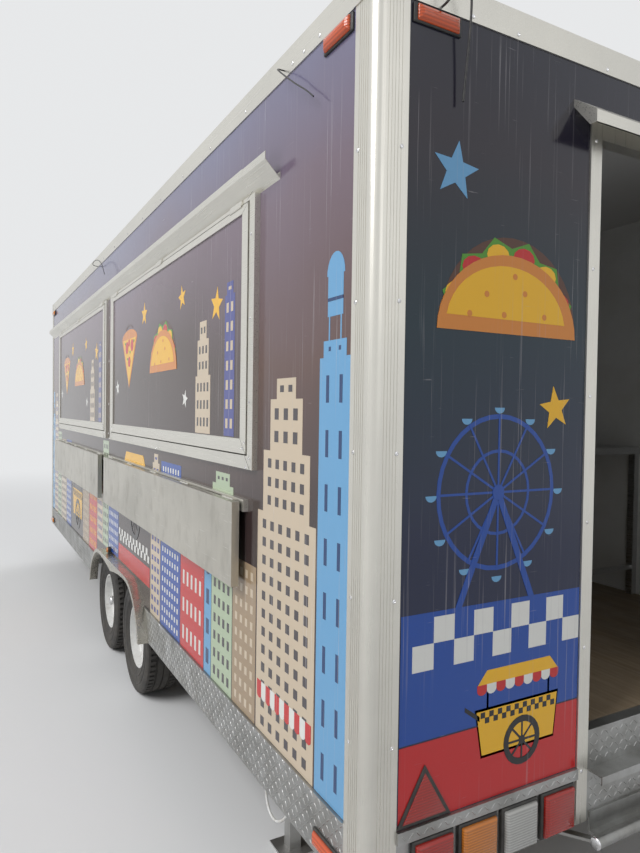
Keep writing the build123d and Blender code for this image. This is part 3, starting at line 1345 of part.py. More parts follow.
def write_step(name, pieces):
    solids = [solid for piece in pieces for solid in piece.solids()]
    shape = solids[0] if len(solids) == 1 else Compound(solids)
    export_step(shape, "parts/" + name + ".step")


os.makedirs("parts", exist_ok=True)
for node_name, node_pieces in build_nodes().items():
    write_step(node_name, node_pieces)
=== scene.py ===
import json
from math import atan2, cos, pi, radians, sin, sqrt

import bpy
from mathutils import Matrix, Vector

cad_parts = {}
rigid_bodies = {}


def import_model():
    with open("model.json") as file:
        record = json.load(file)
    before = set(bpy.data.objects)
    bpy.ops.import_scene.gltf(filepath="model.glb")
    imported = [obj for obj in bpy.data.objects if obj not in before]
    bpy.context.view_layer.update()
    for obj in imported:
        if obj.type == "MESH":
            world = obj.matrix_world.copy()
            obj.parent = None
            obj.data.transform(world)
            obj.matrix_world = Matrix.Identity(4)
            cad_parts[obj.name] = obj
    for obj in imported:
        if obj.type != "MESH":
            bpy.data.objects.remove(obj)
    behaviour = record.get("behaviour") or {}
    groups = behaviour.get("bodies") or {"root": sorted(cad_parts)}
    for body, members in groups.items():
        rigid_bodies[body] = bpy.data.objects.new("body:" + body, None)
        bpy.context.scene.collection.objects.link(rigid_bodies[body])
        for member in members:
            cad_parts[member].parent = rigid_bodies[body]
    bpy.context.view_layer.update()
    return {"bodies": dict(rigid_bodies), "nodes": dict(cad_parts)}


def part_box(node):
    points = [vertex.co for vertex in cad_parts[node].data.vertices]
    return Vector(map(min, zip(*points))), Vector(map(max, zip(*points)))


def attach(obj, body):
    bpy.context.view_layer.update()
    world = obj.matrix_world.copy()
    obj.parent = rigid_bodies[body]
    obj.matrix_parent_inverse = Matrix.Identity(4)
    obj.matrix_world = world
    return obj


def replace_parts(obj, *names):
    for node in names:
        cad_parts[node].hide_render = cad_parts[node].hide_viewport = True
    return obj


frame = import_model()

# Camera and studio
# The camera stands behind the rear left corner at eye height, where the photograph was taken.
# The floor is pale and fades into an even sky, and three large soft lamps light the trailer.
PHOTO_FOCAL = 655.0
PHOTO_HEIGHT = 853.0
SENSOR = 36.0
CAMERA_PLACE = Vector((-5.473, 2.253, 1.780))
CAMERA_RIGHT = Vector((-0.4813, -0.8764, 0.0145))
CAMERA_UP = Vector((0.0272, 0.0016, 0.9996))
CAMERA_FORWARD = Vector((0.8761, -0.4816, -0.0231))
SKY = (0.80, 0.81, 0.82)
SKY_LIGHT = 0.52
FLOOR_TONE = (0.72, 0.725, 0.73)
FLOOR_SIZE = 160.0
FLOOR_FADES_FROM = 5.5
FLOOR_FADES_TO = 15.0

photo_lens = bpy.data.cameras.new("photo_lens")
photo_lens.sensor_width = SENSOR
photo_lens.lens = SENSOR * PHOTO_FOCAL / PHOTO_HEIGHT
photo_camera = bpy.data.objects.new("photo_camera", photo_lens)
bpy.context.scene.collection.objects.link(photo_camera)
turn = Matrix((CAMERA_RIGHT, CAMERA_UP, -CAMERA_FORWARD)).transposed()
photo_camera.matrix_world = Matrix.Translation(CAMERA_PLACE) @ turn.to_4x4()
bpy.context.scene.camera = photo_camera
bpy.context.scene.view_settings.view_transform = "Standard"


def soft_lamp(name, place, aim, size, power, mirrored=True):
    """A square area lamp that faces a point on the trailer; one that isn't mirrored leaves no glare."""
    light = bpy.data.lights.new(name, "AREA")
    light.size = size
    light.energy = power
    lamp = bpy.data.objects.new(name, light)
    bpy.context.scene.collection.objects.link(lamp)
    lamp.location = place
    lamp.rotation_euler = (Vector(aim) - Vector(place)).to_track_quat("-Z", "Y").to_euler()
    lamp.visible_glossy = mirrored


soft_lamp("side_lamp", (-4.0, 14.0, 13.5), (-0.8, 1.3, 1.4), 10.0, 2400)
soft_lamp("rear_lamp", (-16.0, -2.0, 6.5), (-4.0, 0.0, 1.2), 8.0, 110)
soft_lamp("far_lamp", (11.0, -12.0, 9.0), (0.5, -0.5, 1.5), 10.0, 1250, mirrored=False)


class Nodes:
    """A tree of shader nodes in the making."""

    def __init__(self, tree):
        self.tree = tree

    def add(self, kind, inputs=None, **settings):
        """A node with its settings made and its sockets filled, or linked where a socket is given."""
        made = self.tree.nodes.new(kind)
        for name, value in settings.items():
            setattr(made, name, value)
        for name, value in (inputs or {}).items():
            socket = made.inputs[name]
            if isinstance(value, bpy.types.NodeSocket):
                self.tree.links.new(value, socket)
            elif socket.type == "RGBA":
                socket.default_value = (*value, 1)
            else:
                socket.default_value = value
        return made

    def calculate(self, operation, first, second=0.0, clamp=False):
        inputs = {0: first, 1: second}
        return self.add("ShaderNodeMath", inputs, operation=operation, use_clamp=clamp).outputs[0]

    def seen_ray(self):
        """1 for what the camera sees, straight or in a mirror or glass, and 0 for what lights the scene."""
        rays = self.add("ShaderNodeLightPath").outputs
        mirrored = self.calculate("MAXIMUM", rays["Is Camera Ray"], rays["Is Glossy Ray"])
        return self.calculate("MAXIMUM", mirrored, rays["Is Transmission Ray"])


sky = bpy.data.worlds.new("studio_sky")
sky.use_nodes = True
bpy.context.scene.world = sky
sky_nodes = Nodes(sky.node_tree)
strength = sky_nodes.add("ShaderNodeMapRange", {
    "Value": sky_nodes.seen_ray(), "To Min": SKY_LIGHT, "To Max": 1.0}).outputs["Result"]
background = sky.node_tree.nodes["Background"].inputs
background["Color"].default_value = (*SKY, 1)
sky.node_tree.links.new(strength, background["Strength"])

bpy.ops.object.select_all(action="DESELECT")
bpy.ops.mesh.primitive_plane_add(size=FLOOR_SIZE)
studio_floor = bpy.context.object
studio_floor.name = "studio_floor"
floor_paint = bpy.data.materials.new("studio_floor_paint")
floor_paint.use_nodes = True
floor_nodes = Nodes(floor_paint.node_tree)
floor_shader = floor_nodes.tree.nodes["Principled BSDF"]
for name, value in (("Base Color", (*FLOOR_TONE, 1)), ("Roughness", 0.9), ("Specular IOR Level", 0.1)):
    floor_shader.inputs[name].default_value = value
at = floor_nodes.add("ShaderNodeTexCoord").outputs["Object"]
from_middle = floor_nodes.add("ShaderNodeVectorMath", {0: at}, operation="LENGTH").outputs["Value"]
far = floor_nodes.add("ShaderNodeMapRange", {
    "Value": from_middle, "From Min": FLOOR_FADES_FROM, "From Max": FLOOR_FADES_TO},
    interpolation_type="SMOOTHSTEP").outputs["Result"]
fade = floor_nodes.calculate("MULTIPLY", far, floor_nodes.seen_ray())
far_glow = floor_nodes.add("ShaderNodeEmission", {"Color": SKY}).outputs[0]
faded = floor_nodes.add("ShaderNodeMixShader", {0: fade, 1: floor_shader.outputs["BSDF"], 2: far_glow})
floor_nodes.tree.links.new(faded.outputs[0], floor_nodes.tree.nodes["Material Output"].inputs["Surface"])
studio_floor.data.materials.append(floor_paint)

# Chassis: rails, cross members, drawbar, axles and hangers
# Rolled and welded steel, sprayed black, with road dust that lies thicker near the ground.
# Pairs of bent bolts clamp the leaf springs down on their axles, under a plate and four nuts.
BLACK_PAINT = (0.022, 0.022, 0.024)
COUPLER_PAINT = (0.040, 0.040, 0.045)
ZINC = (0.50, 0.50, 0.49)
SPRING_STEEL = (0.055, 0.045, 0.04)
ROAD_DUST = (0.20, 0.175, 0.14)
DUST_HEIGHT = 1.2
RUST = (0.19, 0.075, 0.03)
AXLE_TUBE = 0.038
SPRING_HALF = 0.022
SPRING_TOP = 0.078
CLAMP_BOLT = 0.0055
CLAMP_BOLT_SPREAD = 0.029
CLAMP_BOLT_END = 0.022
CLAMP_PLATE = (0.062, 0.045, 0.007)
CLAMP_NUT = ("nut", 0.0105, 0.009, 6, [(0.00189, 0.0008), (0.003675, 0.0)], 0.0005, 1)


class Pattern(Nodes):
    """A tree of shader nodes with the place that its noise is laid out by."""

    def __init__(self, tree, at):
        super().__init__(tree)
        self.at = at

    def streaks(self, stretch, low, high):
        """A mask of noise stretched along the axes: large numbers are fine, small ones are long."""
        stretch = stretch if isinstance(stretch, tuple) else (stretch,) * 3
        inputs = {"Vector": self.at, "Stretch": stretch, "Low": low, "High": high}
        return self.add("ShaderNodeGroup", inputs, node_tree=streaks_group).outputs["Mask"]

    def blend(self, mask, first, second):
        return self.add("ShaderNodeMixRGB", {"Fac": mask, "Color1": first, "Color2": second}).outputs["Color"]

    def remap(self, value, low, high):
        inputs = {"Value": value, "To Min": low, "To Max": high}
        return self.add("ShaderNodeMapRange", inputs).outputs["Result"]


def start_group(name, inputs, outputs):
    """A node group with its named sockets: its pattern, and its input and output sockets."""
    group = bpy.data.node_groups.new(name, "ShaderNodeTree")
    for side, sockets in (("INPUT", inputs), ("OUTPUT", outputs)):
        for label, kind in sockets.items():
            group.interface.new_socket(label, in_out=side, socket_type="NodeSocket" + kind)
    given = group.nodes.new("NodeGroupInput").outputs
    return Pattern(group, given["Vector"]), given, group.nodes.new("NodeGroupOutput").inputs


noise, given, result = start_group(
    "streaks", {"Vector": "Vector", "Stretch": "Vector", "Low": "Float", "High": "Float"}, {"Mask": "Float"})
streaks_group = noise.tree
stretched = noise.add("ShaderNodeMapping", {"Vector": noise.at, "Scale": given["Stretch"]})
grains = noise.add("ShaderNodeTexNoise", {
    "Vector": stretched.outputs["Vector"], "Scale": 1.0, "Detail": 3.0, "Roughness": 0.6})
spread = noise.add("ShaderNodeMapRange", {
    "Value": grains.outputs["Fac"], "From Min": given["Low"], "From Max": given["High"]})
streaks_group.links.new(spread.outputs["Result"], result["Mask"])

dusting, given, result = start_group("road_dust", {
    "Vector": "Vector", "Clean": "Color", "Dust": "Color", "Height": "Float", "Amount": "Float"},
    {"Color": "Color"})
dust_group = dusting.tree
falling = dusting.add("ShaderNodeMapRange", {
    "Value": dusting.add("ShaderNodeSeparateXYZ", {0: dusting.at}).outputs["Z"],
    "From Min": 0.0, "From Max": given["Height"], "To Min": 1.0, "To Max": 0.12})
clouds = dusting.add("ShaderNodeTexNoise", {
    "Vector": dusting.at, "Scale": 9.0, "Detail": 6.0, "Roughness": 0.7})
thick = dusting.add("ShaderNodeMapRange", {
    "Value": clouds.outputs["Fac"], "From Min": 0.25, "From Max": 0.80})
both = dusting.calculate("MULTIPLY", falling.outputs["Result"], thick.outputs["Result"])
share = dusting.calculate("MULTIPLY", both, given["Amount"], clamp=True)
dust_group.links.new(dusting.blend(share, given["Clean"], given["Dust"]), result["Color"])


class Finish(Pattern):
    """A material in the making, its patterns laid out by Object coordinates."""

    def __init__(self, name, roughness, metallic=0.0):
        self.material = bpy.data.materials.new(name)
        self.material.use_nodes = True
        super().__init__(self.material.node_tree, None)
        self.at = self.add("ShaderNodeTexCoord").outputs["Object"]
        self.sockets = self.tree.nodes["Principled BSDF"].inputs
        self.sockets["Roughness"].default_value = roughness
        self.sockets["Metallic"].default_value = metallic

    def link(self, value, socket):
        self.tree.links.new(value, self.sockets[socket])

    def colour(self, value, dust=None):
        """Links the colour, under road dust where dust gives its amount and how high it reaches."""
        if dust:
            value = self.add("ShaderNodeGroup", {
                "Vector": self.at, "Clean": value, "Dust": ROAD_DUST, "Amount": dust[0], "Height": dust[1]},
                node_tree=dust_group).outputs["Color"]
        self.link(value, "Base Color")

    def sheen(self, mask, smooth, rough):
        self.link(self.remap(mask, smooth, rough), "Roughness")

    def relief(self, height, strength, distance=0.001):
        bump = self.add("ShaderNodeBump", {"Height": height, "Strength": strength, "Distance": distance})
        self.link(bump.outputs["Normal"], "Normal")


def mottled(name, colours, patches, roughness, metallic=0.0, dust=None, sheen=None, relief=None):
    """A finish of one colour, or of two that mix in patches, with dust, uneven sheen and fine relief.

    patches, sheen and relief begin with the stretch, low and high of their streaks; sheen goes on
    with its two roughnesses, and relief with its strength and, if need be, its distance."""
    new = Finish(name, roughness, metallic)
    new.colour(new.blend(new.streaks(*patches), *colours) if patches else colours, dust)
    if sheen:
        new.sheen(new.streaks(*sheen[:3]), *sheen[3:])
    if relief:
        new.relief(new.streaks(*relief[:3]), *relief[3:])
    return new.material


def sprayed_steel(name, colour, dust, metallic=0.0):
    """Sprayed or plated steel with a slight orange peel and dust."""
    return mottled(name, colour, None, 0.4, metallic, (dust, DUST_HEIGHT), (9, 0.35, 0.75, 0.32, 0.62),
                   (160, 0.3, 0.7, 0.12, 0.0006))


def give(material, *nodes):
    """Gives CAD nodes their material."""
    for name in nodes:
        mesh = frame["nodes"][name].data
        mesh.materials.clear()
        mesh.materials.append(material)


def start_block(name, low, high):
    """A block between two corners, open for shaping with its faces selectable."""
    bpy.ops.object.select_all(action="DESELECT")
    low, high = Vector(low), Vector(high)
    bpy.ops.mesh.primitive_cube_add(size=1, location=(low + high) / 2)
    block = bpy.context.object
    block.name = name
    block.scale = high - low
    bpy.ops.object.transform_apply(location=True, scale=True)
    bpy.ops.object.mode_set(mode="EDIT")
    bpy.ops.mesh.select_mode(type="FACE")
    return block


def pick_faces(piece, wanted):
    """In edit mode, selects the faces whose centre and normal pass a test."""
    bpy.ops.object.mode_set(mode="OBJECT")
    for face in piece.data.polygons:
        face.select = wanted(face.center, face.normal)
    bpy.ops.object.mode_set(mode="EDIT")


def raise_top(piece, *steps):
    """Insets the top face and lifts it, once for each (inset, lift)."""
    pick_faces(piece, lambda centre, normal: normal.z > 0.9)
    for inset, lift in steps:
        bpy.ops.mesh.inset(thickness=inset)
        bpy.ops.transform.translate(value=(0, 0, lift))
    bpy.ops.object.mode_set(mode="OBJECT")


def select_only(*pieces):
    """Leaves just these pieces selected, the last of them active."""
    if bpy.context.object and bpy.context.object.mode == "EDIT":
        bpy.ops.object.mode_set(mode="OBJECT")
    bpy.ops.object.select_all(action="DESELECT")
    for piece in pieces:
        piece.select_set(True)
    bpy.context.view_layer.objects.active = pieces[-1]


def round_edges(piece, width, segments=2, angle=35):
    """Bevels every sharp edge of a piece and shades it smooth between them."""
    select_only(piece)
    modifier = piece.modifiers.new("edges", "BEVEL")
    modifier.width = width
    modifier.segments = segments
    modifier.limit_method = "ANGLE"
    modifier.angle_limit = radians(angle)
    bpy.ops.object.modifier_apply(modifier=modifier.name)
    bpy.ops.object.shade_smooth_by_angle(angle=radians(angle + 5))
    return piece


def turned_part(name, radius, depth, sides, steps, edge=0, segments=2):
    """A round or six-sided part standing on z = 0, its top raised in steps and its edges rounded."""
    bpy.ops.object.select_all(action="DESELECT")
    bpy.ops.mesh.primitive_cylinder_add(
        vertices=sides, radius=radius, depth=depth, location=(0, 0, depth / 2))
    made = bpy.context.object
    made.name = name
    bpy.ops.object.transform_apply(location=True)
    bpy.ops.object.mode_set(mode="EDIT")
    bpy.ops.mesh.select_mode(type="FACE")
    raise_top(made, *steps)
    return round_edges(made, edge, segments) if edge else made


def facing(place, outwards):
    """The place of a piece whose own z axis points outwards."""
    return Matrix.Translation(place) @ Vector(outwards).to_track_quat("Z", "Y").to_matrix().to_4x4()


def copies(piece, places):
    """Copies of a piece, each with a mesh of its own, at the given places; the pattern goes."""
    made = []
    for place in places:
        copy = piece.copy()
        copy.data = piece.data.copy()
        copy.matrix_world = place
        bpy.context.scene.collection.objects.link(copy)
        made.append(copy)
    bpy.data.objects.remove(piece)
    return made


def joined(name, parts):
    """One piece out of several, with its place in its mesh."""
    select_only(*parts)
    bpy.ops.object.join()
    whole = bpy.context.object
    whole.name = name
    bpy.ops.object.transform_apply(location=True, rotation=True, scale=True)
    bpy.ops.object.mode_set(mode="EDIT")
    bpy.ops.mesh.select_all(action="SELECT")
    bpy.ops.mesh.normals_make_consistent(inside=False)
    bpy.ops.object.mode_set(mode="OBJECT")
    return whole


def fit(name, parts, material, body, slot, place=None):
    """Joins parts into a finished piece, hung on its place, with its material and body; the slot is not used.
    """
    whole = joined(name, parts)
    if place is not None:
        whole.matrix_world = place
        whole = joined(name, [whole])
    whole.data.materials.clear()
    whole.data.materials.append(material)
    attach(whole, body)
    return whole


def pipe(name, radius, start, towards, moves, sides=12):
    """A round bar from a point: each move is a straight (x, y, z) or a turn (centre, axis, angle)."""
    bpy.ops.object.select_all(action="DESELECT")
    turned = Vector(towards).to_track_quat("Z", "Y").to_euler()
    bpy.ops.mesh.primitive_circle_add(
        vertices=sides, radius=radius, fill_type="NGON", location=start, rotation=turned)
    made = bpy.context.object
    made.name = name
    bpy.ops.object.transform_apply(location=True, rotation=True)
    bpy.ops.object.mode_set(mode="EDIT")
    bpy.ops.mesh.select_mode(type="FACE")
    bpy.ops.mesh.select_all(action="SELECT")
    for move in moves:
        if isinstance(move[0], (int, float)):
            bpy.ops.mesh.extrude_region_move(TRANSFORM_OT_translate={"value": move})
        else:
            centre, axis, angle = move
            steps = max(3, round(abs(angle) / radians(15)))
            bpy.ops.mesh.spin(steps=steps, angle=angle, center=centre, axis=axis)
    bpy.ops.mesh.select_all(action="SELECT")
    bpy.ops.mesh.remove_doubles(threshold=0.00001)
    bpy.ops.mesh.normals_make_consistent(inside=False)
    bpy.ops.object.mode_set(mode="OBJECT")
    bpy.ops.object.shade_smooth_by_angle(angle=radians(40))
    return made


zinc_plate = sprayed_steel("zinc_plate", ZINC, 0.4, 0.9)
give(zinc_plate, "jacks")
give(sprayed_steel("black_chassis_paint", BLACK_PAINT, 0.45),
     "main_rails", "crossmembers", "drawbar", "axles", "spring_hangers")
give(sprayed_steel("coupler_paint", COUPLER_PAINT, 0.35), "coupler")
give(mottled("spring_steel", (SPRING_STEEL, RUST), ((22, 22, 40), 0.48, 0.66), 0.6,
             dust=(0.5, DUST_HEIGHT), relief=(90, 0.3, 0.7, 0.4)), "leaf_springs")

WHEELS = [body for body in frame["bodies"] if body.startswith("wheel_")]


def wheel_middle(wheel):
    """The middle of a wheel, and the way out of the trailer from it."""
    low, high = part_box(wheel.replace("wheel_", "tyre_"))
    middle = (low + high) / 2
    return middle, Vector((0, 1 if middle.y > 0 else -1, 0))


axle_z = wheel_middle(WHEELS[0])[0].z
axle_places = sorted({round(wheel_middle(wheel)[0].x, 4) for wheel in WHEELS})
spring_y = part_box("leaf_springs")[1].y - SPRING_HALF
clamp_parts = []
nut_places = []
plate_z = axle_z + SPRING_TOP
bolt_rise = plate_z + CLAMP_BOLT_END - axle_z
bolt_reach = AXLE_TUBE + CLAMP_BOLT
wide, deep, thick = CLAMP_PLATE
for axle_x in axle_places:
    for side in (1, -1):
        plate = start_block("plate", (axle_x - wide, side * spring_y - deep, plate_z),
                            (axle_x + wide, side * spring_y + deep, plate_z + thick))
        clamp_parts.append(round_edges(plate, 0.0015, 1))
        for along in (-CLAMP_BOLT_SPREAD, CLAMP_BOLT_SPREAD):
            y = side * spring_y + along
            clamp_parts.append(pipe(
                "bent_bolt", CLAMP_BOLT, (axle_x - bolt_reach, y, axle_z + bolt_rise), (0, 0, -1),
                [(0, 0, -bolt_rise), ((axle_x, y, axle_z), (0, -1, 0), pi), (0, 0, bolt_rise)], 8))
            for x in (-bolt_reach, bolt_reach):
                nut_places.append(facing((axle_x + x, y, plate_z + thick), (0, 0, 1)))
clamp_parts += copies(turned_part(*CLAMP_NUT), nut_places)
fit("spring_clamps", clamp_parts, zinc_plate, "trailer", "zinc_steel")

# Floor panel and wheel boxes
# The floor is sealed plywood with its face grain along the trailer, worn and dusty below.
# The boxes over the wheels are folded galvanized sheet with its spangle.
PLY_LIGHT = (0.33, 0.25, 0.165)
PLY_DARK = (0.22, 0.16, 0.10)
SPANGLE_LIGHT = (0.60, 0.62, 0.63)
SPANGLE_DARK = (0.46, 0.48, 0.50)
SPANGLE_SCALE = 70.0

give(mottled("sealed_plywood", (PLY_LIGHT, PLY_DARK), ((3, 60, 60), 0.35, 0.68), 0.5, dust=(0.35, 2.0),
             sheen=((6, 9, 9), 0.35, 0.7, 0.4, 0.62), relief=((5, 150, 150), 0.3, 0.7, 0.2)), "floor_panel")

galvanized = Finish("galvanized_sheet", 0.42, 0.85)
flakes = galvanized.add("ShaderNodeTexVoronoi", {"Vector": galvanized.at, "Scale": SPANGLE_SCALE})
flake = galvanized.add("ShaderNodeSeparateColor", {0: flakes.outputs["Color"]}).outputs[0]
galvanized.colour(galvanized.blend(flake, SPANGLE_LIGHT, SPANGLE_DARK), (0.7, 1.0))
galvanized.sheen(flake, 0.34, 0.50)
give(galvanized.material, "wheel_boxes")

# Wheels
# Pressed steel wheels in white enamel, each held by five chromed nuts round a capped hub.
# Brake dust lies over the enamel in faint patches.
ENAMEL = (0.78, 0.78, 0.765)
BRAKE_DUST = (0.50, 0.46, 0.41)
CHROME = (0.78, 0.78, 0.79)
TARNISH = (0.45, 0.43, 0.41)
NUT_CIRCLE = 0.057
NUTS = 5
WHEEL_NUT = ("nut", 0.0105, 0.022, 6, [(0.0022, 0.003), (0.0025, 0.0012)], 0.0006, 1)
HUB_CAP = ("hub_cap", 0.033, 0.034, 28, [(0.003, 0.006), (0.008, 0.004), (0.012, 0.001)], 0.0012)
CAP_REACH = 0.040
DISC_FACE = 0.006

give(mottled("white_wheel_enamel", (ENAMEL, BRAKE_DUST), (14, 0.56, 0.85), 0.22, dust=(0.35, 0.75),
             sheen=(20, 0.3, 0.7, 0.18, 0.4)), *WHEELS)
chrome = mottled("chromed_steel", (CHROME, TARNISH), (60, 0.45, 0.75), 0.12, 1.0,
                 sheen=(90, 0.3, 0.7, 0.1, 0.3))


def spoke(angle):
    """The way from the middle of a wheel to its rim, at an angle."""
    return Vector((cos(angle), 0, sin(angle)))


for wheel in WHEELS:
    middle, outwards = wheel_middle(wheel)
    face = middle + outwards * DISC_FACE
    angles = [2 * pi * (i + 0.25) / NUTS for i in range(NUTS)]
    nut_places = [facing(face + spoke(angle) * NUT_CIRCLE, outwards) for angle in angles]
    fit(wheel + "_nuts", copies(turned_part(*WHEEL_NUT), nut_places), chrome, wheel, "zinc_steel")
    cap_place = facing(middle + outwards * CAP_REACH, outwards)
    fit(wheel + "_cap", copies(turned_part(*HUB_CAP), [cap_place]), chrome, wheel, "zinc_steel")

# Tyres
# Black rubber trailer tyres: a tread of ribs cut by cross grooves, round shoulders, and plain
# side walls with two raised rings, faintly dusty. Each has its valve stem at the wheel.
RUBBER = (0.020, 0.020, 0.021)
TREAD_BLOCKS = 60
TREAD_DEPTH = 0.007
TREAD_RIBS = (
    (-0.78, 0.0), (-0.47, 0.0), (-0.45, -1.0), (-0.37, -1.0), (-0.35, 0.0), (-0.04, 0.0), (-0.03, -1.0),
    (0.03, -1.0), (0.04, 0.0), (0.35, 0.0), (0.37, -1.0), (0.45, -1.0), (0.47, 0.0), (0.78, 0.0))
GROOVED_FROM = 0.36
GROOVE_INSET = 0.0032
SIDE_RINGS = (0.235, 0.285)
RIM_SEAT = 0.1915
TYRE_SKIN = 0.0003
VALVE = ("valve", 0.0055, 0.014, 12, [(0.002, 0.0), (0.0001, 0.016), (0.0008, 0.003)], 0.0005, 1)
VALVE_CIRCLE = 0.150
VALVE_REACH = 0.012
VALVE_ANGLE = radians(250)


def draw_line(name, points):
    """An open line through (x, y, z) points, drawn by extruding one corner along it, left in edit mode."""
    bpy.ops.object.select_all(action="DESELECT")
    bpy.ops.mesh.primitive_plane_add(size=0.01, location=points[0])
    line = bpy.context.object
    line.name = name
    bpy.ops.object.transform_apply(location=True)
    bpy.ops.object.mode_set(mode="EDIT")
    bpy.ops.mesh.select_mode(type="VERT")
    bpy.ops.mesh.select_all(action="SELECT")
    bpy.ops.mesh.merge(type="CENTER")
    for before, after in zip(points, points[1:]):
        step = [after[i] - before[i] for i in range(3)]
        bpy.ops.mesh.extrude_region_move(TRANSFORM_OT_translate={"value": step})
    bpy.ops.mesh.select_all(action="SELECT")
    return line


def tyre_section(radius, half_width):
    """The outside of a tyre from bead to bead, then back through its inside, as (across, radius) points."""
    ring_low, ring_high = SIDE_RINGS
    outer = [(across * half_width, radius + depth * TREAD_DEPTH) for across, depth in TREAD_RIBS]
    right = [(across * half_width, height) for across, height in (
        (0.90, radius - 0.006), (0.97, radius - 0.020), (0.985, radius - 0.040), (0.970, ring_high + 0.004),
        (1.0, ring_high), (0.970, ring_high - 0.004), (0.945, ring_low + 0.006), (0.975, ring_low),
        (0.92, ring_low - 0.006), (0.86, RIM_SEAT + 0.016), (0.80, RIM_SEAT + 0.002))]
    inside = [(across * half_width, height) for across, height in (
        (0.60, RIM_SEAT + 0.001), (0.84, ring_low), (0.84, 0.31), (0.70, radius - 0.018))]
    left = [(-across, height) for across, height in reversed(right)]
    section = left + outer + right + inside + [(-across, height) for across, height in reversed(inside)]
    return section + [section[0]]


def turned_ring(name, section, steps):
    """A ring: an outline of (across, radius) points drawn in y and z and spun round the y axis."""
    ring = draw_line(name, [(0, across, radius) for across, radius in section])
    bpy.ops.mesh.spin(steps=steps, angle=2 * pi, center=(0, 0, 0), axis=(0, 1, 0))
    bpy.ops.mesh.select_all(action="SELECT")
    bpy.ops.mesh.remove_doubles(threshold=0.00002)
    bpy.ops.mesh.normals_make_consistent(inside=False)
    bpy.ops.object.mode_set(mode="OBJECT")
    return ring


def cut_cross_grooves(tyre, radius, half_width):
    """Sinks every second strip of the outer ribs, which leaves rows of blocks."""
    strip = 2 * pi / (TREAD_BLOCKS * 2)

    def groove_face(centre, normal):
        if normal.dot(Vector((centre.x, 0, centre.z)).normalized()) < 0.7:
            return False
        away = sqrt(centre.x ** 2 + centre.z ** 2)
        if away < radius - 0.003 or abs(centre.y) < GROOVED_FROM * half_width:
            return False
        return int((atan2(centre.z, centre.x) + pi) / strip) % 2 == 0

    select_only(tyre)
    bpy.ops.object.mode_set(mode="EDIT")
    bpy.ops.mesh.select_mode(type="FACE")
    pick_faces(tyre, groove_face)
    bpy.ops.mesh.inset(thickness=GROOVE_INSET, use_individual=True)
    bpy.ops.transform.shrink_fatten(value=-TREAD_DEPTH)
    bpy.ops.object.mode_set(mode="OBJECT")


rubber = mottled("tyre_rubber", RUBBER, None, 0.72, dust=(0.42, 0.9), sheen=(30, 0.3, 0.7, 0.6, 0.85),
                 relief=(240, 0.3, 0.7, 0.25, 0.0006))
for wheel in WHEELS:
    tyre_node = wheel.replace("wheel_", "tyre_")
    middle, outwards = wheel_middle(wheel)
    low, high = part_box(tyre_node)
    radius = (high.z - low.z) / 2 - TYRE_SKIN
    half_width = (high.y - low.y) / 2 - TYRE_SKIN
    tyre = turned_ring(tyre_node + "_tread", tyre_section(radius, half_width), TREAD_BLOCKS * 2)
    cut_cross_grooves(tyre, radius, half_width)
    tyre = fit(tyre_node + "_tread", [tyre], rubber, wheel, "tyre_rubber", Matrix.Translation(middle))
    select_only(tyre)
    bpy.ops.object.shade_smooth_by_angle(angle=radians(28))
    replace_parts(tyre, tyre_node)
    stem_place = middle + spoke(VALVE_ANGLE) * VALVE_CIRCLE + outwards * VALVE_REACH
    stem = copies(turned_part(*VALVE), [facing(stem_place, outwards)])
    fit(wheel + "_valve", stem, rubber, wheel, "tyre_rubber")

# Aluminium mouldings: corner posts, roof rails, frames, gutter, shelf rails and the hood
# Extruded or folded mill aluminium, satin and a little warm, with fine draw lines along each
# length. Everything is fixed with pan-head screws at about a forearm's spacing.
MILL_ALUMINIUM = (0.74, 0.72, 0.655)
MILL_SHADE = (0.60, 0.585, 0.54)
SCREW_HEAD = 0.0062
SCREW_RISE = 0.0026
POST_WIDTH = 0.104
POST_PROUD = 0.003
POST_SCREW_IN = 0.083
POST_SCREWS_Z = (0.446, 0.856, 1.263, 1.668, 2.082, 2.497)
RAIL_PROUD = 0.0045
RAIL_SCREWS_Z = 2.919
END_RAIL_SCREWS_Z = 2.912
RAIL_SCREW_PITCH = 0.4065
FRAME_HALF = 1.300
FRAME_SCREWS_IN = ((0.010, 0.043), (0.036, 0.009), (FRAME_HALF, 0.009))
FRAME_SIDE_SCREWS = (0.012, 0.25, 0.15, 0.30)
JAMB_OUT = 0.466
JAMB_SCREW_IN = 0.021
JAMB_PROUD = 0.006
JAMB_SCREWS_Z = (0.599, 2.671, 0.415)
HATCHES = ("serving_hatch_rear", "serving_hatch_front")


def aluminium(name, stretch, smooth=0.27, rough=0.40):
    """Satin aluminium with draw lines along a length, and faint clouds of oxide."""
    new = Finish(name, smooth, 0.9)
    lines = new.streaks(stretch, 0.35, 0.68)
    tone = new.blend(new.remap(new.streaks(2.5, 0.35, 0.8), 0.0, 0.6), MILL_ALUMINIUM, MILL_SHADE)
    new.colour(new.blend(new.remap(lines, 0.0, 0.22), tone, MILL_SHADE), (0.16, 1.6))
    new.sheen(lines, smooth, rough)
    new.relief(lines, 0.08, 0.0005)
    return new.material


give(aluminium("post_aluminium", (260, 260, 3)), "corner_posts", "door_frame")
give(aluminium("moulding_aluminium", (3, 260, 260)),
     "roof_rails", "hatch_frames", "rain_gutter", "shelf_rails")
give(aluminium("cross_aluminium", (260, 3, 260)), "door_cap")

side_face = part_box("left_wall")[1].y
rear_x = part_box("rear_wall")[0].x
front_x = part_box("front_wall")[1].x
frame_low, frame_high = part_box("hatch_frames")
hatch_middles = {node: (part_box(node)[0].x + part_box(node)[1].x) / 2 for node in HATCHES}


def spaced(first, last, pitch):
    """Places from one end of a length to the other at about a pitch."""
    number = max(1, round((last - first) / pitch))
    return [first + (last - first) * i / number for i in range(number + 1)]


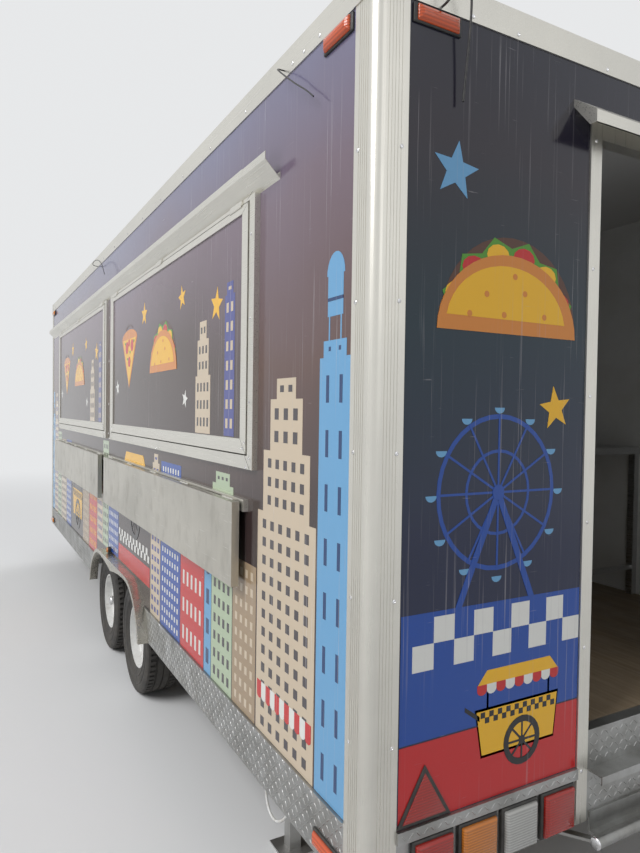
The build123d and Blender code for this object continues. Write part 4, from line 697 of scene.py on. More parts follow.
def screws(name, places, body="trailer"):
    """Pan-head screws, each with the dished drive of its driver in the middle of its head."""
    head = turned_part("screw", SCREW_HEAD, SCREW_RISE * 0.45, 10, [
        (SCREW_HEAD * 0.22, SCREW_RISE * 0.4), (SCREW_HEAD * 0.28, SCREW_RISE * 0.15),
        (SCREW_HEAD * 0.12, -SCREW_RISE * 0.5)])
    bpy.ops.object.shade_smooth_by_angle(angle=radians(30))
    fit(name, copies(head, places), chrome, body, "zinc_steel")


screw_places = []
for side in (1, -1):
    for end_x, out in ((rear_x, -1), (front_x, 1)):
        for z in POST_SCREWS_Z:
            screw_places.append(facing(
                (end_x - out * POST_SCREW_IN, side * (side_face + POST_PROUD), z), (0, side, 0)))
            screw_places.append(facing(
                (end_x + out * POST_PROUD, side * (side_face - POST_SCREW_IN), z), (out, 0, 0)))
    for ahead in [0.310, 0.414] + spaced(0.495, front_x - rear_x - 0.310, RAIL_SCREW_PITCH):
        screw_places.append(facing(
            (rear_x + ahead, side * (side_face + RAIL_PROUD), RAIL_SCREWS_Z), (0, side, 0)))
for end_x, out in ((rear_x, -1), (front_x, 1)):
    for inwards in [0.323] + spaced(0.50, 2 * side_face - 0.50, RAIL_SCREW_PITCH):
        screw_places.append(facing(
            (end_x + out * RAIL_PROUD, side_face - inwards, END_RAIL_SCREWS_Z), (out, 0, 0)))
for middle in hatch_middles.values():
    for inwards, lift in FRAME_SCREWS_IN:
        for across in sorted({inwards - FRAME_HALF, FRAME_HALF - inwards}):
            screw_places.append(facing((middle + across, frame_high.y, frame_low.z + lift), (0, 1, 0)))
    inwards, from_low, from_high, pitch = FRAME_SIDE_SCREWS
    for side in (1, -1):
        for z in spaced(frame_low.z + from_low, frame_high.z - from_high, pitch):
            screw_places.append(facing((middle + side * (FRAME_HALF - inwards), frame_high.y, z), (0, 1, 0)))
for y in (JAMB_SCREW_IN - JAMB_OUT, JAMB_OUT - JAMB_SCREW_IN):
    screw_places += [facing((rear_x - JAMB_PROUD, y, z), (-1, 0, 0)) for z in spaced(*JAMB_SCREWS_Z)]
screws("moulding_screws", screw_places)

# Fenders and shelves
# Bright aluminium sheet. The shelves hang folded down, satin from years of wiping, clouded with
# old stains and crossed by short scratches. The fenders are brighter, with dust near the road.
BRIGHT_LIGHT = (0.60, 0.575, 0.51)
BRIGHT_DARK = (0.48, 0.46, 0.405)
STAIN = (0.30, 0.285, 0.25)
BARE_SCRATCH = (0.86, 0.85, 0.82)


def wiped_sheet(name, dust, smooth, rough):
    """Satin sheet with faint upright streaks, stains, short level scratches and clouds of tone."""
    new = Finish(name, smooth, 0.9)
    upright = new.streaks((60, 60, 1.5), 0.35, 0.75)
    level = new.streaks((7, 160, 160), 0.66, 0.74)
    scratches = new.calculate("MAXIMUM", level, new.streaks((240, 240, 6), 0.66, 0.74))
    stains = new.streaks((11, 11, 7), 0.50, 0.68)
    tone = new.blend(new.streaks(2.2, 0.36, 0.68), BRIGHT_LIGHT, BRIGHT_DARK)
    for mask, share, mark in (
            (upright, 0.16, BRIGHT_DARK), (stains, 0.24, STAIN), (scratches, 0.6, BARE_SCRATCH)):
        tone = new.blend(new.remap(mask, 0.0, share), tone, mark)
    new.colour(tone, (dust, 1.3))
    new.sheen(new.calculate("MAXIMUM", new.calculate("MULTIPLY", upright, 0.5), stains), smooth, rough)
    new.relief(scratches, 0.10, 0.0005)
    return new.material


give(wiped_sheet("shelf_sheet", 0.08, 0.30, 0.44), "shelf_rear", "shelf_front")
give(wiped_sheet("fender_sheet", 0.35, 0.22, 0.36), "fenders")

# Chequered plate: side skirts, rear skirt with its trim, and the step
# Rolled aluminium tread plate with raised bars that lean left and right by turns, dusty low
# down. The bars are real relief on every face that shows, and each tube of the step is capped.
PLATE_LIGHT = (0.46, 0.465, 0.46)
PLATE_DARK = (0.27, 0.27, 0.26)
BAR_PITCH = 0.0255
BAR_LENGTH = 0.0255
BAR_WIDTH = 0.0066
BAR_HEIGHT = 0.0014
BAR_TOP = (0.72, 0.42, 1)
BAR_GAP = 0.004
FENDER_GAP = 0.010
SIDE_ROWS_IN = (0.003, 0.009)
TRIM_PROUD = 0.012
TRIM_ROWS_DOWN = (0.033, 0.004)
RISER_PROUD = 0.004
RISER_ROWS_IN = ((0.036, 0.030), (0.012, 0.010))
RISER_GAP = 0.006
DOOR_HALF = 0.415
LEDGE_DROP = 0.129
SKIRT_SCREW_PITCH = 0.402
SKIRT_SCREW_END = 0.105
SKIRT_SCREW_DOWN = 0.012
WHEELS_HALF = 0.86
STEP_TUBE_BACK, STEP_TUBE_END, STEP_TUBE_Z = 0.060, 0.433, 0.385
TUBE_CAP = ("tube_cap", 0.021, 0.005, 24, [(0.004, 0.002), (0.006, 0.001)], 0.0008, 1)

tread_plate = mottled("tread_plate", (PLATE_LIGHT, PLATE_DARK), (7, 0.36, 0.72), 0.36, 0.92, (0.55, 0.9),
                      (180, 0.32, 0.7, 0.28, 0.50), (180, 0.32, 0.7, 0.2, 0.0006))
give(tread_plate, "skirt_plates", "rear_step")


def wall_place(origin, along, outwards):
    """The place of a flat drawing on a wall: x runs along it, y up, and z out of it."""
    turned = Matrix((Vector(along), Vector((0, 0, 1)), Vector(outwards))).transposed()
    return Matrix.Translation(Vector(origin)) @ turned.to_4x4()


def repeated(piece, columns, across, rows=1, up=0.0):
    """Repeats a piece in columns and rows."""
    select_only(piece)
    for count, step in ((columns, (across, 0, 0)), (rows, (0, up, 0))):
        if count > 1:
            repeat = piece.modifiers.new("repeat", "ARRAY")
            repeat.use_relative_offset = False
            repeat.use_constant_offset = True
            repeat.constant_offset_displace = step
            repeat.count = count
            bpy.ops.object.modifier_apply(modifier=repeat.name)
    return piece


def tread_bar(x, y, lean):
    """One raised bar of the plate, lying in x and y: a low lozenge with a narrower top."""
    bpy.ops.object.select_all(action="DESELECT")
    bpy.ops.mesh.primitive_circle_add(vertices=6, radius=0.5, fill_type="NGON")
    bar = bpy.context.object
    bpy.ops.transform.resize(value=(BAR_LENGTH, BAR_WIDTH, 1))
    bpy.ops.object.transform_apply(scale=True)
    bpy.ops.object.mode_set(mode="EDIT")
    bpy.ops.mesh.select_mode(type="FACE")
    bpy.ops.mesh.select_all(action="SELECT")
    bpy.ops.mesh.extrude_region_move(TRANSFORM_OT_translate={"value": (0, 0, BAR_HEIGHT)})
    bpy.ops.transform.resize(value=BAR_TOP)
    bpy.ops.object.mode_set(mode="OBJECT")
    bar.matrix_world = Matrix.Translation((x, y, 0)) @ Matrix.Rotation(radians(lean), 4, "Z")
    bpy.ops.object.transform_apply(location=True, rotation=True)
    return bar


def bar_rows(place, low, high, limits):
    """Rows of bars that fill a stretch of plate; limits gives a row's ends by its height."""
    rows = []
    count = max(1, int((high - low) / BAR_PITCH))
    for row in range(count):
        height = low + (row + 0.5) * (high - low) / count
        start, end = limits(height)
        places = int((end - start) / BAR_PITCH)
        for lean in (45, -45):
            shift = (row + (lean > 0)) % 2
            number = (places - shift + 1) // 2
            if number > 0:
                bar = tread_bar(start + (shift + 0.5) * BAR_PITCH, height, lean)
                rows.append(repeated(bar, number, 2 * BAR_PITCH))
    whole = joined("bars", rows)
    whole.matrix_world = place
    return whole


skirt_low, skirt_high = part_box("skirt_plates")
fender_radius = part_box("fenders")[1].z - axle_z
sill_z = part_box("rear_step")[1].z
ledge_z = sill_z - LEDGE_DROP
post_in = POST_WIDTH + BAR_GAP


def fender_edge(height):
    """How far from its axle the bars beside a fender start at a height."""
    return sqrt(max(fender_radius ** 2 - (height - axle_z) ** 2, 0)) + FENDER_GAP


bar_groups = []
for side in (1, -1):
    place = wall_place((0, side * side_face, 0), (1, 0, 0), (0, side, 0))
    for limits in (lambda height: (rear_x + post_in, axle_places[0] - fender_edge(height)),
                   lambda height: (axle_places[-1] + fender_edge(height), front_x - post_in)):
        low, high = skirt_low.z + SIDE_ROWS_IN[0], skirt_high.z - SIDE_ROWS_IN[1]
        bar_groups.append(bar_rows(place, low, high, limits))
    place = wall_place((rear_x - TRIM_PROUD, 0, 0), (0, side, 0), (-1, 0, 0))
    low, high = [skirt_high.z - down for down in TRIM_ROWS_DOWN]
    bar_groups.append(bar_rows(place, low, high, lambda height: (JAMB_OUT + BAR_GAP, side_face - post_in)))
riser = wall_place((rear_x - RISER_PROUD, 0, 0), (0, 1, 0), (-1, 0, 0))
for low, high, (above, below) in zip((skirt_low.z, ledge_z), (ledge_z, sill_z), RISER_ROWS_IN):
    bar_groups.append(bar_rows(riser, low + above, high - below, lambda height: (
        RISER_GAP - DOOR_HALF, DOOR_HALF - RISER_GAP)))
fit("tread_plate_bars", bar_groups, tread_plate, "trailer", "chequered_aluminium")

wheels_x = (axle_places[0] + axle_places[1]) / 2
lip_places = []
for ahead in spaced(SKIRT_SCREW_END, front_x - rear_x - SKIRT_SCREW_END, SKIRT_SCREW_PITCH):
    if abs(rear_x + ahead - wheels_x) > WHEELS_HALF:
        for side in (1, -1):
            lip_places.append(facing(
                (rear_x + ahead, side * side_face, skirt_high.z - SKIRT_SCREW_DOWN), (0, side, 0)))
screws("skirt_screws", lip_places)

cap_places = [facing((rear_x - STEP_TUBE_BACK, side * STEP_TUBE_END, STEP_TUBE_Z), (0, side, 0))
              for side in (1, -1)]
fit("step_tube_caps", copies(turned_part(*TUBE_CAP), cap_places), chrome, "trailer", "zinc_steel")

# Printed film on the walls
# Glossy printed vinyl over flat sheet: a dark night-sky print, lilac grey at the top and dark brown lower
# down, where the lilac grey is a painted reflection of the sky and the brown middle a painted reflection of
# trees;
# it is darker at the rear, which is painted shade, and has years of fine upright scratches.
# Side colours, foot to head: the print's dark brown, a painted reflection of trees in brown, then a painted
# reflection of the sky in lilac grey.
SIDE_SKY_AND_REFLECTION = ((0.042, 0.027, 0.026), (0.110, 0.060, 0.052), (0.150, 0.105, 0.140), (0.150, 0.150, 0.250))
# Rear colours: the dark navy print, made darker all over as painted shade.
REAR_SKY_IN_PAINTED_SHADE = ((0.010, 0.016, 0.050), (0.008, 0.026, 0.040), (0.024, 0.020, 0.030), (0.016, 0.017, 0.032))
SCRATCH = (0.42, 0.40, 0.42)
INSIDE_WHITE = (0.72, 0.72, 0.70)
INSIDE_AGED = (0.62, 0.61, 0.57)
SKY_FOOT_Z = 0.62
SKY_HEAD_Z = 2.90
FACE_SKIN = 0.0012

wearing, given, result = start_group(
    "film_wear", {"Vector": "Vector"}, {"Scratches": "Float", "Waves": "Float"})
wear_group = wearing.tree
upright = wearing.calculate(
    "MULTIPLY", wearing.streaks((95, 95, 1.3), 0.60, 0.70), wearing.streaks((1.8, 1.8, 1.3), 0.38, 0.62))
scratched = wearing.calculate("MAXIMUM", upright, wearing.streaks((7, 7, 130), 0.70, 0.78))
wear_group.links.new(scratched, result["Scratches"])
wear_group.links.new(wearing.streaks(1.3, 0.3, 0.7), result["Waves"])


def film_surface(new, colour):
    """Glossy film over a colour: fine scratches, and slow waves that bend its reflections."""
    wear = new.add("ShaderNodeGroup", {"Vector": new.at}, node_tree=wear_group).outputs
    new.relief(new.calculate("ADD", wear["Waves"], wear["Scratches"]), 0.08, 0.004)
    scratched = new.blend(new.remap(wear["Scratches"], 0.0, 0.42), colour, SCRATCH)
    return scratched, new.remap(wear["Scratches"], 0.14, 0.36)


def sky_with_painted_light(new, low, middle, upper, top):
    """The film's sky: four colours from the foot of the wall to its head; they carry painted reflection on
    the sides and painted shade at the rear.
    """
    drift = new.remap(new.streaks((0.7, 0.7, 0.9), 0.3, 0.7), -0.12, 0.12)
    level = new.calculate("ADD", new.add("ShaderNodeSeparateXYZ", {0: new.at}).outputs["Z"], drift)
    height = new.add("ShaderNodeMapRange", {"Value": level, "From Min": SKY_FOOT_Z, "From Max": SKY_HEAD_Z})
    ramp = new.add("ShaderNodeValToRGB", {"Fac": height.outputs["Result"]})
    stops = ramp.color_ramp.elements
    stops[0].color = (*low, 1)
    stops[0].position = 0.36
    stops[1].color = (*top, 1)
    stops.new(0.60).color = (*middle, 1)
    stops.new(0.82).color = (*upper, 1)
    return ramp.outputs["Color"]


def between(new, axis, low, high):
    """A mask that is 1 where a coordinate lies between two values."""
    value = new.add("ShaderNodeSeparateXYZ", {0: new.at}).outputs[axis]
    return new.calculate(
        "MULTIPLY", new.calculate("GREATER_THAN", value, low), new.calculate("LESS_THAN", value, high))


def filmed_sheet(name, axis, low, high, sky_and_light_colours):
    """A white sheet whose film covers the face between two places on an axis."""
    new = Finish(name, 0.2)
    film, gloss = film_surface(new, sky_with_painted_light(new, *sky_and_light_colours))
    outside = between(new, axis, low, high)
    aged = new.blend(new.streaks(3, 0.4, 0.8), INSIDE_WHITE, INSIDE_AGED)
    new.colour(new.blend(outside, aged, film))
    new.link(new.blend(outside, (0.38, 0.38, 0.38), gloss), "Roughness")
    return new.material


for name, axis, low, high, sky_and_light_colours in (
        ("left_wall", "Y", side_face - FACE_SKIN, side_face + 0.1, SIDE_SKY_AND_REFLECTION),
        ("right_wall", "Y", -side_face - 0.1, FACE_SKIN - side_face, SIDE_SKY_AND_REFLECTION),
        ("rear_wall", "X", rear_x - 0.1, rear_x + FACE_SKIN, REAR_SKY_IN_PAINTED_SHADE),
        ("front_wall", "X", front_x - FACE_SKIN, front_x + 0.1, SIDE_SKY_AND_REFLECTION)):
    give(filmed_sheet(name + "_film", axis, low, high, sky_and_light_colours), name)

# Serving hatches
# Each hatch is a wide aluminium sash with a flat printed panel set back in it; the print on
# the walls carries on over it. Fine mitre joints cross the corners of the sash and the frame.
PANEL_RECESS = 0.007
# The hatch panel's middle colour is a darker brown painted reflection of trees; its other sky colours are the
# side walls', with their painted reflection of the sky.
PANEL_MIDDLE_REFLECTION = (0.060, 0.038, 0.034)
SASH_HALF = 1.244
SASH_SCREWS = ((0.011, 0.043), (0.030, 0.020))
MITRE_WIDTH = 0.0007
SASH_BANDS = (0.056, 0.030)
FRAME_BANDS = (0.050, 0.015)
SEAL_BLACK = (0.012, 0.012, 0.012)
SEAL_GREY = (0.03, 0.03, 0.03)

hatch_low, hatch_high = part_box("serving_hatch_rear")
panel_face = hatch_high.y - PANEL_RECESS
hatch_finish = Finish("hatch_sash_and_film", 0.2)
film, gloss = film_surface(
    hatch_finish, sky_with_painted_light(hatch_finish, SIDE_SKY_AND_REFLECTION[0], PANEL_MIDDLE_REFLECTION, SIDE_SKY_AND_REFLECTION[2], SIDE_SKY_AND_REFLECTION[3]))
panel_mask = between(hatch_finish, "Y", panel_face - 0.0008, panel_face + 0.0008)
inner_mask = between(hatch_finish, "Y", hatch_low.y + 0.015, panel_face - 0.015)
lines = hatch_finish.streaks((3, 260, 260), 0.35, 0.68)
metal = hatch_finish.blend(hatch_finish.remap(lines, 0.0, 0.3), MILL_ALUMINIUM, MILL_SHADE)
hatch_finish.colour(hatch_finish.blend(
    panel_mask, hatch_finish.blend(inner_mask, metal, INSIDE_WHITE), film))
bare = hatch_finish.calculate("SUBTRACT", 1.0, panel_mask)
metal_mask = hatch_finish.calculate("SUBTRACT", bare, inner_mask, clamp=True)
hatch_finish.link(hatch_finish.remap(metal_mask, 0.0, 0.9), "Metallic")
hatch_finish.link(hatch_finish.blend(panel_mask, hatch_finish.remap(lines, 0.27, 0.40), gloss), "Roughness")
give(hatch_finish.material, *HATCHES)
seal_rubber = mottled("black_seal_rubber", (SEAL_BLACK, SEAL_GREY), (40, 0.4, 0.7), 0.6,
                      sheen=(60, 0.3, 0.7, 0.5, 0.75))


def quad(left, right, foot, head, top_left=None, top_right=None):
    """The corners of an area; its head may start and end elsewhere than its foot."""
    return [(left, foot), (right, foot), (right if top_right is None else top_right, head),
            (left if top_left is None else top_left, head)]


def plate(points, top, foot=0.0):
    """A thin plate of a drawn outline, out to its top from the sheet that it lies on."""
    drawn = draw_line("plate", [(x, y, foot) for x, y in points])
    bpy.ops.mesh.edge_face_add()
    bpy.ops.mesh.extrude_region_move(TRANSFORM_OT_translate={"value": (0, 0, top - foot)})
    bpy.ops.object.mode_set(mode="OBJECT")
    return drawn


def mitres(middle, half, low, high, side_band, top_band):
    """Four fine lines from the outer to the inner corners of a frame; its foot is as wide as its sides."""
    made = []
    for side in (1, -1):
        outer, inner = middle + side * half, middle + side * (half - side_band)
        for z, inner_z in ((low, low + side_band), (high, high - top_band)):
            line = quad(outer - MITRE_WIDTH, outer + MITRE_WIDTH, z, inner_z,
                        inner - MITRE_WIDTH, inner + MITRE_WIDTH)
            made.append(plate(line, 0.00025, -0.0005))
    return made


frame_mitres = []
for node, middle in hatch_middles.items():
    low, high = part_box(node)
    sash_mitres = mitres(middle, SASH_HALF, low.z, high.z, *SASH_BANDS)
    fit(node + "_mitres", sash_mitres, seal_rubber, node, "mill_aluminium",
        wall_place((0, hatch_high.y, 0), (1, 0, 0), (0, 1, 0)))
    screws(node + "_screws", [
        facing((middle + side * (SASH_HALF - inwards), hatch_high.y, low.z + lift), (0, 1, 0))
        for side in (1, -1) for inwards, lift in SASH_SCREWS], node)
    frame_mitres += mitres(middle, FRAME_HALF, frame_low.z, frame_high.z, *FRAME_BANDS)
fit("frame_mitres", frame_mitres, seal_rubber, "trailer", "mill_aluminium",
    wall_place((0, frame_high.y, 0), (1, 0, 0), (0, 1, 0)))

# Cut vinyl: skyline, snacks and carts
# Flat shapes of coloured film laid over the night sky in layers, all under the same gloss: house
# blocks with rows of windows, a checkered band, stars, snacks and yellow pushcarts.
LAYER = 0.0005
FOOT_Z = 0.617
OVER_FENDER_Z = 0.747
OVER_FENDER = (2.28, 3.94)
BAND_Z = (0.845, 0.850, 1.050, 1.215)
CHECKER = 0.075
SPOKE_HALF = 0.0035
PANEL_HALF = 1.188
PANEL_FOOT_Z = 1.676
PAINTS = {
    "sand": (0.56, 0.46, 0.34), "tan": (0.33, 0.24, 0.15), "pale_blue": (0.13, 0.34, 0.58),
    "blue": (0.010, 0.065, 0.33), "window": (0.060, 0.052, 0.058), "violet": (0.060, 0.070, 0.26),
    "red": (0.52, 0.018, 0.020), "yellow": (0.80, 0.44, 0.015), "white": (0.70, 0.70, 0.67),
    "black": (0.014, 0.014, 0.016), "pale_green": (0.40, 0.49, 0.34), "green": (0.075, 0.27, 0.020),
    "orange": (0.62, 0.22, 0.035), "brown": (0.085, 0.032, 0.018), "dusk_blue": (0.012, 0.045, 0.14),
}
STREET = (
    ("sand", 0.296, 0.742, 1.42, "window", 6, ((0.045, 0.22), (0.055, 0.18), (0.05, 0.07))),
    ("tan", 0.752, 0.985, 1.20, "sand", 4),
    ("pale_green", 0.992, 1.235, 1.47, "window", 4, ((0.04, 0.05),), 0.075),
    ("pale_blue", 1.240, 1.330, 1.30, "dusk_blue", 1, (), 0.13),
    ("red", 1.337, 1.690, 1.18, "white", 5, (), 0.11, 0.38),
    ("blue", 1.697, 2.060, 1.50, "white", 7, (), 0.052, 0.42),
    ("sand", 2.068, 2.270, 1.38, "violet", 3, ((0.03, 0.10), (0.03, 0.05)), 0.055, 0.6),
    ("blue", 3.140, 3.480, 1.36, "white", 6, (), 0.055, 0.45),
    ("pale_green", 3.490, 3.700, 1.54, "window", 3),
    ("sand", 3.708, 3.935, 1.28, "violet", 4, ((0.03, 0.14),)),
    ("red", 3.945, 4.300, 1.40, "yellow", 5, (), 0.09, 0.36),
    ("tan", 4.308, 4.620, 1.22, "sand", 4, ((0.05, 0.12),)),
    ("blue", 5.320, 5.640, 1.46, "white", 6, (), 0.055),
    ("sand", 5.650, 6.020, 1.30, "window", 5, ((0.04, 0.15),)),
    ("pale_green", 6.030, 6.290, 1.52, "window", 4),
    ("sand", 6.300, 6.560, 1.62, "violet", 4, ((0.035, 0.20), (0.035, 0.12))),
)
SNACK_STARS = (
    ("yellow", 0.29, 2.22, 0.075, 8), ("yellow", 0.78, 2.32, 0.060, -10), ("white", 0.72, 1.83, 0.045, 14),
    ("yellow", 1.52, 2.33, 0.070, 4), ("white", 2.24, 1.92, 0.055, -6),
)
DOOR_STARS = ((-1.02, 2.30, 0.07), (-0.62, 2.12, 0.055), (-0.80, 2.46, 0.05))
FRONT_STREET = (
    ("sand", -1.18, -0.98, 1.62, "window"), ("red", -0.97, -0.70, 1.02, "white"),
    ("blue", -0.69, -0.30, 0.98, "white"), ("pale_green", -0.29, -0.08, 1.30, "window"),
    ("sand", -0.07, 0.22, 1.72, "violet"), ("tan", 0.23, 0.47, 1.05, "sand"),
    ("blue", 0.48, 0.80, 1.40, "white"), ("red", 0.81, 1.02, 1.15, "yellow"),
)
FRONT_STARS = ((-0.95, 2.45), (-0.15, 2.55), (0.98, 2.40), (0.02, 2.10))

door_low, door_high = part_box("rear_door")
SHEETS = {
    "left_wall": (wall_place((rear_x, side_face, 0), (1, 0, 0), (0, 1, 0)), "trailer", "printed_panel"),
    "right_wall": (wall_place((rear_x, -side_face, 0), (1, 0, 0), (0, -1, 0)), "trailer", "printed_panel"),
    "rear_wall": (wall_place((rear_x, 0, 0), (0, 1, 0), (-1, 0, 0)), "trailer", "printed_panel"),
    "front_wall": (wall_place((front_x, 0, 0), (0, 1, 0), (1, 0, 0)), "trailer", "printed_panel"),
    "door": (wall_place((door_high.x, 0, 0), (0, 1, 0), (1, 0, 0)), "rear_door", "door_skin"),
}
for node in HATCHES:
    SHEETS[node] = (wall_place((rear_x, panel_face, 0), (1, 0, 0), (0, 1, 0)), node, "printed_hatch")
vinyl = {}


def lay(sheet, paint, piece):
    """Lays a flat piece of one paint on a sheet."""
    vinyl.setdefault((sheet, paint), []).append(piece)


def shape(sheet, paint, layer, points):
    lay(sheet, paint, plate(points, layer * LAYER))


def bar(sheet, paint, layer, *area):
    shape(sheet, paint, layer, quad(*area))


def arc(x, z, across, up, first, last, steps=16):
    """Points along part of an oval, from one angle to another in degrees."""
    angles = [radians(first + (last - first) * i / steps) for i in range(steps + 1)]
    return [(x + across * cos(a), z + up * sin(a)) for a in angles]


def disc(sheet, paint, layer, x, z, across, up=None, steps=24):
    shape(sheet, paint, layer, arc(x, z, across, up or across, 0, 360 - 360 / steps, steps - 1))


def ring(sheet, paint, layer, x, z, outer, inner, first=0, last=360, steps=24):
    """A ring or part of one, in two halves."""
    middle = (first + last) / 2
    for start, end in ((first, middle), (middle, last)):
        shape(sheet, paint, layer, arc(x, z, outer, outer, start, end, steps // 2)
              + arc(x, z, inner, inner, end, start, steps // 2))


def strip(sheet, paint, layer, start, end):
    """A narrow straight strip between two points, such as a spoke."""
    along = (end - start).normalized()
    side = Vector((-along.y, along.x)) * SPOKE_HALF
    shape(sheet, paint, layer, [tuple(p) for p in (start + side, end + side, end - side, start - side)])


def star(sheet, paint, layer, x, z, size, turn=0):
    tips = [(size if i % 2 == 0 else size * 0.42, radians(90 + turn + 36 * i)) for i in range(10)]
    shape(sheet, paint, layer, [(x + away * cos(angle), z + away * sin(angle)) for away, angle in tips])


def grid(sheet, paint, layer, left, right, foot, head, columns, rows, wide=0.5, tall=0.5):
    """Rows of small windows that fill an area."""
    across, up = (right - left) / columns, (head - foot) / rows
    x, z = left + across * (1 - wide) / 2, foot + up * (1 - tall) / 2
    window = plate(quad(x, x + across * wide, z, z + up * tall), layer * LAYER)
    lay(sheet, paint, repeated(window, columns, across, rows, up))


def block(sheet, paint, left, right, foot, head, windows, columns, steps=(), pitch=0.062, wide=0.45):
    """A house block with narrower steps on top, and windows on its body and on each step."""
    rising, falling, level, inset = [(left, foot), (left, head)], [(right, foot), (right, head)], head, 0
    floors = [(left, right, foot, head, columns)]
    for step, rise in steps:
        inset += step
        rising += [(left + inset, level), (left + inset, level + rise)]
        falling += [(right - inset, level), (right - inset, level + rise)]
        share = (right - left - 2 * inset) / (right - left)
        floors.append((left + inset, right - inset, level, level + rise, max(1, round(columns * share))))
        level += rise
    shape(sheet, paint, 1, rising + falling[::-1])
    for low_x, high_x, low, top, number in floors:
        edge = (high_x - low_x) * 0.06
        rows = max(1, int((top - low - 0.02) / pitch))
        grid(sheet, windows, 2, low_x + edge, high_x - edge, low + 0.012, top - 0.012, number, rows, wide)


def water_tower(sheet, left, right, foot, head):
    """A pale blue tower whose top carries a round water tank under a pointed lid."""
    middle, half = (left + right) / 2, (right - left) / 2
    block(sheet, "pale_blue", left, right, foot, head, "dusk_blue", 2, [(half * 0.25, 0.05)], 0.16, 0.22)
    for x in (middle - half * 0.42, middle + half * 0.34):
        bar(sheet, "pale_blue", 1, x, x + half * 0.08, head + 0.05, head + 0.12)
    bar(sheet, "pale_blue", 1, middle - half * 0.5, middle + half * 0.5, head + 0.12, head + 0.24)
    shape(sheet, "pale_blue", 1, arc(middle, head + 0.24, half * 0.58, half * 0.75, 0, 180, 12))
    bar(sheet, "dusk_blue", 2, middle - half * 0.5, middle + half * 0.5, head + 0.165, head + 0.175)


def awning(sheet, left, right, z, drop, stripes):
    """A striped awning with round tongues along its lower edge."""
    width = (right - left) / stripes
    for first, paint in ((0, "red"), (1, "white")):
        x = left + width * (first + 0.5)
        tongue = plate([(x - width / 2, z)] + arc(x, z - drop, width / 2, width * 0.4, 180, 360, 8)
                       + [(x + width / 2, z)], 3 * LAYER)
        lay(sheet, paint, repeated(tongue, (stripes - first + 1) // 2, 2 * width))


def checkers(sheet, left, right, foot, squares, paint="white"):
    """Two rows of squares, each a square apart and shifted from the row below."""
    size = (right - left) / squares
    for row in (0, 1):
        x, z = left + row * size, foot + row * size
        square = plate(quad(x, x + size, z, z + size), 3 * LAYER)
        lay(sheet, paint, repeated(square, (squares - row + 1) // 2, 2 * size))


def pushcart(sheet, left, right, foot, head):
    """A vendor's cart: a yellow box with a checkered strip, one spoked wheel, a handle and a roof."""
    wide, tall = right - left, head - foot
    wheel_r = tall * 0.24
    hub = Vector((left + wide * 0.40, foot + wheel_r))
    box_foot, box_head = foot + tall * 0.20, foot + tall * 0.62
    bar(sheet, "black", 1, left + wide * 0.04, right - wide * 0.17, box_foot - 0.008, box_head + 0.008,
        left - wide * 0.005, right - wide * 0.10)
    bar(sheet, "yellow", 2, left + wide * 0.05, right - wide * 0.18, box_foot, box_head,
        left + wide * 0.01, right - wide * 0.12)
    checkers(sheet, left + wide * 0.04, right - wide * 0.16, box_head - tall * 0.12, 18, "black")
    for x in (left + wide * 0.10, right - wide * 0.24):
        bar(sheet, "black", 1, x, x + 0.008, box_head, head - tall * 0.06)
    bar(sheet, "yellow", 2, left, right - wide * 0.12, head - tall * 0.14, head,
        left + wide * 0.10, right - wide * 0.22)
    awning(sheet, left, right - wide * 0.12, head - tall * 0.13, tall * 0.05, 9)
    shape(sheet, "black", 2, [
        (right - wide * 0.15, box_head - 0.03), (right, box_head + 0.012), (right, box_head + 0.026),
        (right - wide * 0.15, box_head - 0.014)])
    ring(sheet, "black", 4, *hub, wheel_r, wheel_r * 0.74)
    disc(sheet, "black", 4, *hub, wheel_r * 0.18, steps=12)
    for i in range(4):
        along = Vector((cos(pi * i / 4), sin(pi * i / 4))) * wheel_r * 0.76
        strip(sheet, "black", 3, hub + along, hub - along)


def taco(sheet, x, z, wide):
    """A taco: a folded shell round green leaves, tomato, cheese and brown filling."""
    half = wide / 2
    shape(sheet, "brown", 1, arc(x - half * 0.02, z + half * 0.10, half * 0.97, half * 0.93, 0, 180, 20))
    leaf_z = z + half * 0.16
    waves = [(half * (0.97 if i % 2 else 0.84), radians(15 * i)) for i in range(13)]
    shape(sheet, "green", 2, [(x + away * cos(a), leaf_z + away * 0.90 * sin(a)) for away, a in waves])
    for i in range(6):
        angle = radians(22 + 27 * i)
        spot = (x + half * 0.80 * cos(angle), z + half * 0.10 + half * 0.74 * sin(angle))
        disc(sheet, "red" if i % 2 else "yellow", 3, *spot, half * 0.16, half * 0.12, 12)
    shape(sheet, "orange", 4, arc(x, z, half, half * 0.84, 0, 180, 22))
    shape(sheet, "yellow", 5, arc(x + half * 0.03, z + half * 0.06, half * 0.86, half * 0.66, 8, 172, 18))
    for dx, dz in ((-0.5, 0.22), (-0.2, 0.45), (0.1, 0.20), (0.35, 0.40), (0.58, 0.18), (-0.05, 0.62)):
        disc(sheet, "orange", 6, x + half * dx, z + half * dz, half * 0.035, steps=8)


def pizza(sheet, x, z, wide):
    """A slice of pizza: a round crust over a wedge of cheese with discs of sausage."""
    half = wide / 2
    shape(sheet, "orange", 1, [(x, z - half * 1.55)] + arc(x, z, half * 1.02, half * 0.30, 0, 180, 12))
    shape(sheet, "yellow", 2, [(x, z - half * 1.45), (x + half * 0.88, z), (x - half * 0.88, z)])
    for dx, dz, size in (
            (-0.38, -0.22, 0.19), (0.32, -0.26, 0.20), (-0.02, -0.72, 0.17), (0.02, -0.12, 0.12)):
        disc(sheet, "red", 3, x + half * dx, z + half * dz, half * size, steps=14)
    for dx, dz in ((-0.12, -0.42), (0.20, -0.62), (0.52, -0.12), (-0.62, -0.10)):
        disc(sheet, "green", 3, x + half * dx, z + half * dz, half * 0.07, half * 0.05, 8)
    ring(sheet, "brown", 3, x, z - half * 0.55, half * 1.00, half * 0.97, 62, 118, 10)


